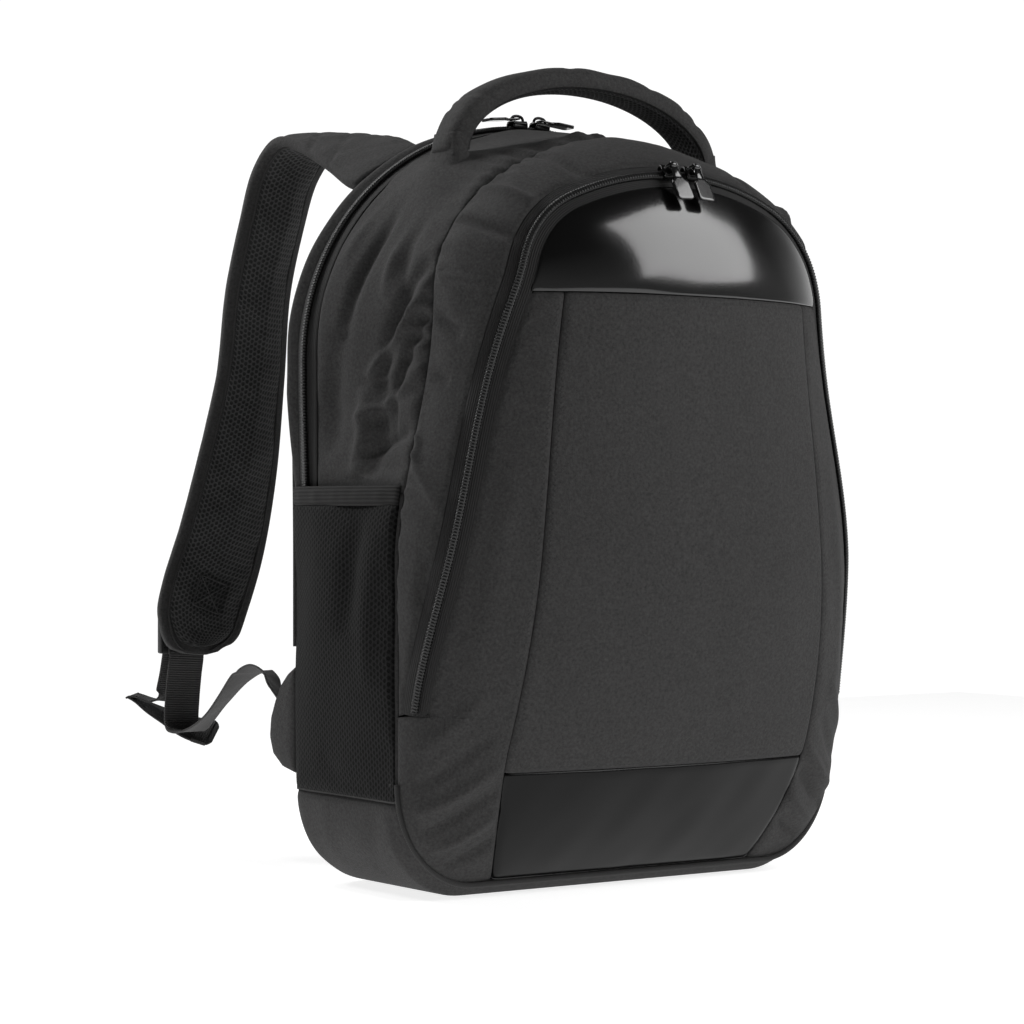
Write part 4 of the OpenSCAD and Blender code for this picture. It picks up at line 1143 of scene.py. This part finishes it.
# each crease across the handle: its place along it, its slant and its depth
PINCHES = ((36, 5, 1.3), (48, -6, 1.0), (112, 7, 0.8), (176, -7, 1.3), (196, 6, 1.2), (158, 4, 0.8))
handle_line = handle_path()
handle_up = np.cross(unit(np.gradient(handle_line, axis=0)), Y)
handle_up = np.where(handle_up[:, 2:] < 0, -handle_up, handle_up)


def handle_cover():
    """The padded cover: a high superellipse on a flat underside, narrower at its feet, with creases."""
    path = handle_line
    a = turns(40)
    top = np.maximum(np.sin(a), 0)
    up = np.where(np.sin(a) >= 0, 12.8 * np.abs(np.sin(a)) ** 0.75, 0.9 * np.sin(a)) - 5.3
    half = 14.0 - 1.2 * np.exp(-(np.maximum(path[:, 2] - HANDLE_Z, 0) / 14) ** 2)
    section = np.stack(np.broadcast_arrays(half[:, None] * squared(np.cos(a), 0.62), up), -1)
    rings = carried(path, section, Y, handle_up)
    s = np.linspace(0, 236, len(path))[:, None]
    soft = 0.35 * waves(rings, 32, 131) + 0.35 * np.sin(s / 7 + 2 * np.sin(s / 23)) * top
    for at, slant, deep in PINCHES:
        soft = soft - deep * np.exp(-((s - at - slant * np.cos(a)) / 2.6) ** 2) * (0.35 + 0.65 * top)
    return rings + unit(rings - path[:, None]) * soft[..., None]


def handle_underside():
    """The mesh on the hand's side: a shallow round belly closed by a flat top."""
    x = np.linspace(-1, 1, 13)
    belly = np.stack([x * 12.0, -5.9 - 2.0 * np.sqrt(1 - 0.9 * x ** 2)], -1)
    lid = np.stack([x[::-1] * 12.0, np.full(13, -5.0)], -1)
    return carried(handle_line[3:-3], np.concatenate([belly, lid]), Y, handle_up[3:-3])


for name, rings, mat, node in (("handle_skin", handle_cover(), M["plain"], "handle_cover"),
                               ("handle_underside", handle_underside(), M["airmesh"], "handle_mesh")):
    ob = tube_mesh(name, rings)
    bend(ob, mat, "root", "handle", start=(0, HANDLE_Y / 1000, 0.438), end=(0, HANDLE_Y / 1000, 0.462),
         node=node)


def handle_foot(sign, high=446.0):
    """A flared collar: rounded rings that widen from the handle's section down to a rim on the gusset's
    mound, closed by a lid under it."""
    t = np.linspace(0, 1, 22)[:, None]
    a = turns(72)[None]
    x = -94.8 - 0.8 * t ** 2 + lerp(6.0, 11.0, t ** 1.5) * squared(np.cos(a), 0.75)
    y = HANDLE_Y + lerp(12.0, 16.0, t ** 1.3) * squared(np.sin(a), 0.75)
    w, zc, h = arch_at(y)
    ground = zc + (h - zc) * np.sqrt(np.maximum(1 - (x / w) ** 2, 0)) + 0.4 + mound(x, y, 8.2)
    z = lerp(high, ground, np.minimum(t * 1.06, 1) ** 0.8) + 0.9 * np.sin(3.0 * a + 1) * t * (1 - t) * 2
    p = pts(x * -sign, y, z)
    p = p[:, ::-1] if sign > 0 else p
    return np.concatenate([p, p[-1:] - 3.0 * Z])


for side, sign in SIDES:
    own(tube_mesh("handle_collar_" + side, handle_foot(sign)), M["plain"], "root", "handle_foot_" + side)


# ---------------------------------------------------------------- shoulder straps
# each row: centre x, y, z, roll of the outer edge in degrees, and half width
STRAP_ROWS = [
    (-90.5, 99.5, 432.5, 30, 26), (-91, 106, 435.5, 30, 27), (-88, 134, 446.5, 23, 27),
    (-89, 170, 456.5, 9, 26), (-93, 195, 457, 2, 25), (-98, 212, 441, 0, 24), (-101, 224, 412, 0, 23.5),
    (-104, 238, 365, 0, 23.5), (-104, 248, 310, 0, 25), (-110, 254, 255, 0, 29.5), (-120, 257, 205, 0, 32),
    (-134, 256, 165, 0, 32), (-141, 254, 143, 0, 29), (-142.5, 253, 131, 0, 27)]
strap = even(spline(STRAP_ROWS, 12), 2.2)


def strap_frame(line):
    """Centre, width direction and outward direction at each point of the strap's line."""
    p = line[:, :3]
    t = unit(np.gradient(p, axis=0))
    roll = np.radians(line[:, 3])
    side = pts(np.cos(roll), 0 * roll, np.sin(roll))
    w = unit(side - t * (side * t).sum(-1, keepdims=True))
    return p, w, np.cross(w, t)


def strap_rings(line, half, section):
    """Rings of a section, given as shares of the half width and heights, along the strap."""
    p, w, n = strap_frame(line)
    across = half[:, None] * section[None, :, 0]
    return p[:, None] + across[..., None] * w[:, None] + section[None, :, 1, None] * n[:, None]


def end_taper(line, reach=24.0, least=0.3):
    """How the strap's lower end narrows in a quarter round, and the length up to each point."""
    s = lengths(line)
    left = np.clip((s[-1] - s) / reach, 0, 1)
    return least + (1 - least) * np.sqrt(1 - (1 - left) ** 2), s


def keel(x, s):
    """The strap lies folded along a line near its middle: the depth of that fold at share x of its width."""
    run = ramp(s, 95, 60) * np.clip((s[-1] - 50 - s) / 70, 0, 1)
    line = (0.12 + 0.1 * np.sin(s / 61))[:, None]
    peak = 1 - np.abs(x - line) / np.where(x > line, 1 - line, 1 + line)
    return -8.0 * run[:, None] * peak


def strap_cover():
    """The padded cover: a rounded section with a thin flat rim, where cover and mesh are sewn together."""
    taper, s = end_taper(strap)
    a = np.linspace(0, np.pi, 25)
    top = np.stack([-np.cos(a) * 0.98, 0.4 + 5.4 * np.sin(a) ** 0.62], -1)
    rim = np.array([(1.0, -0.6), (1.0, -2.2), (0.97, -3.4)])
    low = np.stack([np.linspace(0.9, -0.9, 9), np.full(9, -3.6)], -1)
    section = np.concatenate([top, rim, low, rim[::-1] * [-1, 1]])
    rings = strap_rings(strap, strap[:, 4] * taper, section)
    x, up = section.T[:, None]
    flat = (ramp(s, 0, 30) * np.clip((s[-1] - s) / 14, 0, 1))[:, None]
    lump = (0.45 * waves(rings, 34, 141) + 0.25 * waves(rings, 13, 142)) * np.clip(up / 5, 0, 1) * flat
    seam = -1.3 * np.exp(-((np.abs(x) - 0.82) / 0.05) ** 2) * (up > 1) * flat
    for at in (58, 86):
        seam = seam - 1.4 * np.exp(-((s[:, None] - at - 26 * x) / 1.8) ** 2) * (up > 0.5)
    n = strap_frame(strap)[2]
    return (rings + n[:, None] * (lump + seam + keel(x, s))[..., None])[:, ::-1]


def strap_lining():
    """The spacer mesh on the wearer's side: pillowed, creased along its middle, in from the rim, and pressed
    in where the stitched square lies."""
    line = strap[3:-2]
    taper, s = end_taper(line, 22.0, 0.35)
    half = np.maximum(line[:, 4] * taper - 6.0, 3)
    x = np.linspace(-1, 1, 25)
    puff = -3.7 - 2.3 * (1 - np.abs(x) ** 5) ** 0.5
    section = np.concatenate([np.stack([x, puff], -1), np.stack([x[::-1] * 0.98, np.full(25, -3.3)], -1)])
    rings = strap_rings(line, half, section)
    x, up = section.T[:, None]
    lump = 0.5 * waves(rings, 30, 151) + 0.2 * waves(rings, 11, 152)
    patch = 0.9 * ((np.abs(s[:, None] - (s[-1] - 36)) < 13) & (np.abs(x * half[:, None]) < 12))
    n = strap_frame(line)[2]
    return rings + n[:, None] * (keel(x * 0.8, s + 6) + (lump + patch) * (up < -3.5))[..., None]


def strap_piping(edge):
    """A fine rib along the strap's outer edge, -1, or inner edge, 1, where the cover turns in to the mesh."""
    taper, s = end_taper(strap)
    half = strap[:, 4] * taper - 6.3
    dip = keel(edge * (half / strap[:, 4])[:, None], s)[2:-1]
    p, w, n = strap_frame(strap[2:-1])
    centre = p + edge * half[2:-1, None] * w + (dip - 4.0) * n
    return carried(centre, round_profile(0.9, 8), w[:, None], n)


def cross_box(centre, w, t, n, size=20.0):
    """Stitching of a sewn square with its diagonals: a thin cord along one path."""
    h = size / 2
    corners = np.array([(-h, -h), (h, -h), (h, h), (-h, h), (-h, -h), (h, h), (h, -h), (-h, h)], float)
    path = even(np.column_stack([corners, np.zeros(8)]), 1.5)
    return ringed(centre + path[:, :1] * w + path[:, 1:2] * t, n, round_profile(0.45, 6))


# the stitched square near the strap's lower end, at this point of its line
STITCHED = len(strap) - 19
p, w, n = (v[STITCHED] for v in strap_frame(strap))
t = unit(strap[STITCHED + 1, :3] - strap[STITCHED - 1, :3])
stitches = cross_box(p - 6.9 * n, w, t, -n)
for side, sign in SIDES:
    body = "shoulder_strap_" + side
    x = sign * 0.092
    ends = {"start": (x, 0.100, 0.435), "end": (x, 0.122, 0.443)}
    cover = paired("strap_cover_%s", side, strap_cover())
    bend(cover, M["plain"], "root", body, node="strap_pad_" + side, **ends)
    lining = paired("strap_lining_%s", side, strap_lining())
    bend(lining, M["airmesh"], "root", body, node="strap_mesh_" + side, **ends)
    for edge, name in ((-1, "strap_rib_%s_1"), (1, "strap_rib_%s_2")):
        bend(paired(name, side, strap_piping(edge)), M["binding"], "root", body, slot="webbing", **ends)
    trim(paired("strap_stitches_%s", side, stitches), M["thread"], body)


# ---------------------------------------------------------------- ladder locks and their loops
# the lock's upper bar is at LOCK, its rails stand BAR to both sides, and its other bars lie below
LOCK = np.array([-142.5, 267.2, 157.5])
BAR = 16.5


def bar_rings(a, b, w, h, up, n=24, round_end=1.2, power=4.0):
    """A moulded bar from a to b: superellipse sections, w by h, that close in rounds at both ends."""
    a, b = np.asarray(a, float), np.asarray(b, float)
    length = np.linalg.norm(b - a)
    t = (b - a) / length
    side = unit(np.cross(t, up))
    ends = round_end * (1 - np.cos(np.linspace(0, np.pi / 2, 5)))
    s = np.concatenate([ends, length - ends[::-1]])
    inset = np.minimum(np.minimum(s, length - s) / round_end, 1)
    k = 1 - round_end * (1 - np.sqrt(1 - (1 - inset) ** 2)) / (min(w, h) / 2) * 0.8
    q = turns(n)
    section = np.stack([w / 2 * squared(np.cos(q), 2 / power), h / 2 * squared(np.sin(q), 2 / power)], -1)
    flat = section[:, :1] * side + section[:, 1:] * np.cross(side, t)
    return (a + s[:, None] * t)[:, None] + k[:, None, None] * flat


def lock_parts():
    """Two rails, a round upper bar, a flat middle bar with grip teeth, and a flat lower bar."""
    parts = [bar_rings(LOCK + (x, 0, 2.2), LOCK + (x, 0, -26.3), 3.0, 4.6, Y) for x in (-BAR, BAR)]
    for drop, w, h, power in ((0, 4.2, 4.2, 2.0), (-11.5, 5.6, 3.6, 3.0), (-24.0, 4.8, 3.8, 3.0)):
        parts.append(bar_rings(LOCK + (-BAR, 0, drop), LOCK + (BAR, 0, drop), w, h, Y, power=power))
    for x in range(-12, 13, 4):
        parts.append(bar_rings(LOCK + (x, -1.6, -11.5), LOCK + (x, -1.6, -9.0), 1.2, 1.4, Y, 10, 0.4))
    return parts


def keeper_rings(half=12.0, thick=0.65):
    """The webbing that holds the lock: a leg down along the strap, then most of a turn round the upper bar."""
    q = np.radians(np.linspace(-180, 168, 40))
    loop = pts(0, 3.15 * np.cos(q), 3.15 * np.sin(q)) + LOCK
    leg = pts(0, -3.2, np.linspace(34, 0.6, 18)) + LOCK
    path = np.concatenate([leg, loop[1:]])
    x = half * np.array([-1, -0.5, 0, 0.5, 1])
    top = np.stack([x, np.full(5, thick)], -1)
    low = top * [1, -1]
    section = np.concatenate([low, [(half + 0.3, 0)], top[::-1], [(-half - 0.3, 0)]])
    return carried(path, section, X, np.cross(unit(np.gradient(path, axis=0)), X))


for side, sign in SIDES:
    turned = other_side if sign > 0 else np.asarray
    own(joined("lock_frame_" + side, [turned(rings) for rings in lock_parts()]),
        M["plastic"], "adjuster_" + side, "ladder_lock_" + side)
    own(paired("keeper_loop_%s", side, keeper_rings()), M["webbing"], "shoulder_strap_" + side,
        "lock_keeper_" + side)


# ---------------------------------------------------------------- adjuster webbing
WEB_HALF = 12.5


def webbing_rings(path, w, half=WEB_HALF, thick=0.62):
    """A woven band: a thin section with slightly fuller edges, carried along a path."""
    t = unit(np.gradient(path, axis=0))
    w = unit(w - t * (w * t).sum(-1, keepdims=True))
    x = np.array([-1, -0.93, -0.86, -0.5, 0, 0.5, 0.86, 0.93, 1])
    y = thick * np.array([0.75, 1.12, 0.92, 1, 1, 1, 0.92, 1.12, 0.75])
    section = np.concatenate([np.stack([x, y], -1), np.stack([x[::-1], -y[::-1]], -1)])
    half = np.broadcast_to(half, len(path))[:, None, None]
    return carried(path, section, half * w[:, None], np.cross(w, t))


# each row: x, y, z
RUN_ROWS = [
    (-157, 125.5, 113.5), (-155, 132, 119), (-152.5, 147, 124), (-150.5, 167, 122.5), (-149, 188, 113),
    (-147.5, 214, 98), (-146, 240, 86), (-145, 258, 81), (-144.5, 266, 86), (-143.8, 266.5, 100),
    (-143, 265.2, 116), (-142.5, 263.4, 127), (-142.5, 263.2, 132.5)]
# each row: x, y, z, then heading and rise of the band's width in degrees
TAIL_ROWS = [
    (-142.5, 264.1, 131, 0, 0), (-142.5, 264.1, 140, 0, 0), (-142.5, 264.6, 149.2, 0, 0),
    (-142.5, 267.2, 151.4, 0, 0), (-142.5, 269.8, 149.2, 0, 0), (-142.5, 270.5, 140, 0, 0),
    (-142.7, 272.8, 128, 0, 0), (-143, 277.5, 114, 2, 0), (-145, 283.5, 103, 15, 0),
    (-153, 289.5, 99.5, 45, 0), (-161, 295, 102.6, 55, 0), (-164.5, 298.5, 102.2, 55, 0),
    (-162, 296.5, 100.4, 55, 2), (-153, 294.5, 94, 55, 10), (-142, 291.5, 88, 55, 20),
    (-130, 284, 81.5, 55, 32), (-116, 272, 76.5, 55, 38)]
run = even(spline(RUN_ROWS, 14), 1.5)
run = np.vstack([run[:1] - [0, 2.0, 2.0], run])
# the band's width leads inwards: near the wing its inner edge dips, and further along it rises
turn = np.clip((159 - run[:, 1]) / 34, 0, 1) ** 0.7
arch = np.sin(np.pi * ramp(run[:, 1], 165, 92))
run_w = pts(1 - 0.29 * turn - 0.14 * arch, 0.36 * turn + 0.12 * np.clip((215 - run[:, 1]) / 60, 0, 1),
            -0.61 * turn + 0.5 * arch)
# the webbing is cut in two just above the fold at the bottom
cut = int(np.argmax((run[:, 1] > 262) & (run[:, 2] > 86)))
tail = even(spline(TAIL_ROWS, 14), 1.2)
heading, rise = np.radians(tail[:, 3]), np.radians(tail[:, 4])
tail_w = pts(np.cos(heading) * np.cos(rise), np.sin(heading) * np.cos(rise), np.sin(rise))
# the tail's end is rounded off over its last few rings, and its hem lies just before them
closing = np.clip((np.arange(len(tail)) - len(tail) + 5) / 5, 0, 0.98)
tail_half = WEB_HALF * np.sqrt(1 - closing ** 2)
HEM = slice(-12, -3)
for side, sign in SIDES:
    strap_body, lock_body = "shoulder_strap_" + side, "adjuster_" + side
    bend(paired("adjuster_band_%s", side, webbing_rings(run[:cut + 1], run_w[:cut + 1])), M["webbing"],
         "root", strap_body, start=(sign * 0.155, 0.132, 0.118), end=(sign * 0.145, 0.258, 0.095),
         node="adjuster_webbing_" + side)
    bend(paired("adjuster_band_upper_%s", side, webbing_rings(run[cut:], run_w[cut:])), M["webbing"],
         strap_body, lock_body, start=(sign * 0.143, 0.266, 0.090), end=(sign * 0.143, 0.266, 0.126),
         slot="webbing")
    own(paired("webbing_end_%s", side, webbing_rings(tail[:, :3], tail_w, tail_half)), M["webbing"],
        lock_body, "webbing_tail_" + side)
    trim(paired("webbing_hem_%s", side, webbing_rings(tail[HEM, :3], tail_w[HEM], 12.2, 1.35)), M["webbing"],
         lock_body)


# ---------------------------------------------------------------- wings
def wing_rings(x0=-157):
    """A pillow over a triangle: its outline shrinks to a point on both faces as the thickness grows."""
    outline = np.array([(98.6, 130), (108, 125), (116, 118), (122, 109), (127.5, 98), (129, 86), (125, 76),
                        (114, 69), (98.6, 66), (98.2, 98)], float)
    ring = even_outline(outline, 2.5)
    mid = ring.mean(axis=0)
    r = np.sin(np.linspace(0, np.pi / 2, 12))
    h = 3.4 * np.maximum(1 - r ** 3, 0) ** 0.5
    k = np.concatenate([r[1:], r[::-1][1:-1]])
    x = np.concatenate([-h[1:], h[::-1][1:-1]])
    yz = mid + k[:, None, None] * (ring - mid)[None]
    return pts(x[:, None] + x0, yz[..., 0], yz[..., 1])


for side, sign in SIDES:
    wing = paired("wing_cover_%s", side, wing_rings())
    own(wing, M["plain"], "root", "strap_wing_" + side)


# ---------------------------------------------------------------- sliders and pullers
# radius of the main zip's arc over the top, and where the sliders stand on both zips, in degrees
MAIN_R, FRONT_AT, MAIN_AT = 178, 2.6, 2.7


def on_front_zip(p, degrees):
    """Carry points drawn at a zip's top, X along it and Z out of it, to the front zip's leaning arc. They
    lean with the front, then turn about the arc's axis."""
    lean = np.arccos(front_n(np.array(0.0), np.array(ZIP_TOP))[2])
    c, s = np.cos(lean), np.sin(lean)
    q = np.stack([p[..., 0], c * p[..., 1] - s * p[..., 2], s * p[..., 1] + c * p[..., 2]], -1) + APEX - ARC_C
    k = ARC_AXIS
    a = np.radians(degrees)
    turned = q * np.cos(a) + np.cross(k, q) * np.sin(a) + k * (q @ k)[..., None] * (1 - np.cos(a))
    return turned + ARC_C


def on_main_zip(p, degrees):
    """The same for the main zip's level arc across the top."""
    a = np.radians(degrees)
    z = p[..., 2] + MAIN_R
    return pts(p[..., 0] * np.cos(a) + z * np.sin(a), p[..., 1] + ZIP_Y,
               -p[..., 0] * np.sin(a) + z * np.cos(a) + BODY_H - MAIN_R)


def slider_parts():
    """A slider: a waisted top plate, two flanges that wrap the coil, and an arched bridge along the zip."""
    x = np.linspace(-6, 6, 25)
    blunt = np.sqrt(np.maximum(1 - np.maximum(np.abs(x) - 4.8, 0) / 1.21, 0.02))
    waist = 4.6 * (0.8 + 0.2 * np.abs(x / 6) ** 1.5) * blunt
    q = turns(20)
    section = np.stack([squared(np.cos(q), 0.6), 0.75 * squared(np.sin(q), 0.7)], -1)
    plate = pts(x[:, None], waist[:, None] * section[None, :, 0], 4.75 + section[None, :, 1])
    flanges = [bar_rings((-5.2, y, 2.6), (5.2, y, 2.6), 1.3, 3.8, Z, 16, 0.6) for y in (-3.9, 3.9)]
    a = np.linspace(0, np.pi, 26)
    bridge = pts(-4.5 * np.cos(a), 0, 4.6 + 4.3 * np.sin(a) ** 0.55)
    return [plate] + flanges + [ringed(bridge, Y, round_profile(0.9))]


def tab_outline(w=11.5, y0=-8.5, y1=-24.0, r=2.4):
    """The tab's outline: a narrow neck that widens to a rectangle, whose lower corners have radius r."""
    h = w / 2
    q = np.linspace(0, np.pi / 2, 7)
    right = np.array([(2.6, y0), (3.0, y0 - 1.0), (h - 0.6, y0 - 2.6), (h, y0 - 3.8)])
    corner = np.stack([h - r + r * np.cos(q), y1 + r - r * np.sin(q)], -1)
    right = np.concatenate([right, corner])
    return even_outline(np.concatenate([right, right[::-1] * [-1, 1]]), 0.7)


def slab(outline, half=0.9, rim=0.45):
    """A flat tab, half to each side of its middle plane: its rims turn in as quarter rounds, and its faces
    close in towards their middles."""
    mid = outline.mean(axis=0)
    n = unit(np.roll(outline, -1, 0) - np.roll(outline, 1, 0))
    n = np.stack([n[:, 1], -n[:, 0]], -1)
    n = n * np.sign((n * (outline - mid)).sum())
    q = np.linspace(0, np.pi / 2, 5)
    rounds = [(outline - n * rim * (1 - np.sin(k)), rim * (1 - np.cos(k)) - half) for k in q]
    lower = [(mid + (outline - mid) * f, -half) for f in (0.3, 0.8)] + rounds
    whole = lower + [(line, -z) for line, z in lower[::-1]]
    return np.array([np.column_stack([line, np.full(len(line), z)]) for line, z in whole])


def tilt(p, degrees, lift):
    """Dip a tab about X and lift it to its pin."""
    a = np.radians(degrees)
    return np.stack([p[..., 0], p[..., 1] * np.cos(a) - p[..., 2] * np.sin(a),
                     p[..., 1] * np.sin(a) + p[..., 2] * np.cos(a) + lift], -1)


def hanging_parts():
    """An eye round the bridge, a neck, and the tab, dipped a little as they hang."""
    q = np.linspace(0, 2 * np.pi, 30)
    eye = pts(0, 1.5 * np.cos(q), 1.5 * np.sin(q))
    loop = carried(eye, round_profile(0.5, 8) * [4.4, 1.0], X, np.cross(unit(np.gradient(eye, axis=0)), X))
    neck = bar_rings((0, -1.4, 0), (0, -9.5, 0), 5.4, 1.7, Z, 16, 0.4)
    return [tilt(p, 12, 8.8) for p in (loop, neck, slab(tab_outline()))]


def lying_parts():
    """A cross bar under the bridge, two arms, and the tab, turned to lie along the zip."""
    bar = bar_rings((-3, 0, 0), (3, 0, 0), 1.4, 1.4, Z, 12, 0.4, 2.0)
    arms = [bar_rings((x, 0.3, 0), (x, -9.4, 0), 1.2, 1.2, Z, 12, 0.4, 3.0) for x in (-2.4, 2.4)]
    dipped = [tilt(p, 3, 0) for p in [bar] + arms + [slab(tab_outline())]]
    return [pts(p[..., 1], -p[..., 0], p[..., 2] + 6.9) for p in dipped]


for side, sign in SIDES:
    turned = other_side if sign > 0 else np.asarray
    for zipper, place, at, tab in (("front", on_front_zip, FRONT_AT, hanging_parts()),
                                   ("main", on_main_zip, MAIN_AT, [turned(p) for p in lying_parts()])):
        shell = joined("%s_slider_shell_%s" % (zipper, side), [place(p, sign * at) for p in slider_parts()])
        own(shell, M["metal"], "%s_slider_%s" % (zipper, side), "%s_slider_%s" % (zipper, side))
        puller = joined("%s_tab_%s" % (zipper, side), [place(p, sign * at) for p in tab])
        own(puller, M["tab"], "%s_puller_%s" % (zipper, side), "%s_puller_%s" % (zipper, side))


# ---------------------------------------------------------------- inside
for node in ("base_board", "divider_wall", "laptop_sleeve", "sleeve_strap", "organiser_panel",
             "organiser_pocket"):
    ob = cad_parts[node]
    ob.data.materials.clear()
    ob.data.materials.append(M["lining"])


# ---------------------------------------------------------------- camera, floor and light, in metres
cam_data = bpy.data.cameras.new("camera")
cam_data.lens, cam_data.sensor_width, cam_data.shift_y = 99.14, 36.0, 0.0078
cam = bpy.data.objects.new("camera", cam_data)
cam.location = (-1.0203, -1.3594, 0.2177)
cam.rotation_euler = (np.pi / 2, 0, np.radians(-35))
bpy.context.scene.collection.objects.link(cam)
bpy.context.scene.camera = cam

# the floor's corners, in millimetres, half a millimetre below the bag
floor_corners = pts([-1500, 1500, 1500, -1500], [-1700, -1700, 1250, 1250], -0.5)
floor = mesh_object("floor", floor_corners, [(0, 1, 2, 3)])
floor.data.materials.append(M["floor"])

world = bpy.data.worlds.new("studio")
bpy.context.scene.world = world
world.use_nodes = True
Sock.tree = world.node_tree
east, north, high = parts_of(Sock.node("ShaderNodeTexCoord", "Generated"))
# white low down behind the bag, dimmer on its front's side, and dark overhead
behind = clamped((east * 0.5736 + north * 0.8192) * 2.2 - 0.7)
low = 1 - clamped((high - 0.18) * 3.2)
back = world.node_tree.nodes["Background"]
Sock.feed(back.inputs[1], (behind * 0.82 + 0.2) * low + 0.035)
back.inputs[0].default_value = (1, 1, 1, 1)


def softbox(name, place, aim, size, power):
    """A square soft light at place, in metres, turned to face aim."""
    data = bpy.data.lights.new(name, "AREA")
    data.shape, data.size, data.energy = "SQUARE", size, power
    ob = bpy.data.objects.new(name, data)
    ob.location = place
    ob.rotation_euler = (Vector(aim) - Vector(place)).to_track_quat("-Z", "Y").to_euler()
    bpy.context.scene.collection.objects.link(ob)


softbox("key", (0.70, -0.95, 1.05), (0.0, -0.08, 0.36), 0.95, 12.5)
softbox("left_fill", (-0.8, 0.75, 1.0), (-0.1, 0, 0.3), 0.25, 5)
softbox("rear_top", (-0.45, 0.75, 1.5), (0, 0.1, 0.4), 0.5, 9)
bpy.context.scene.view_settings.view_transform = "Standard"
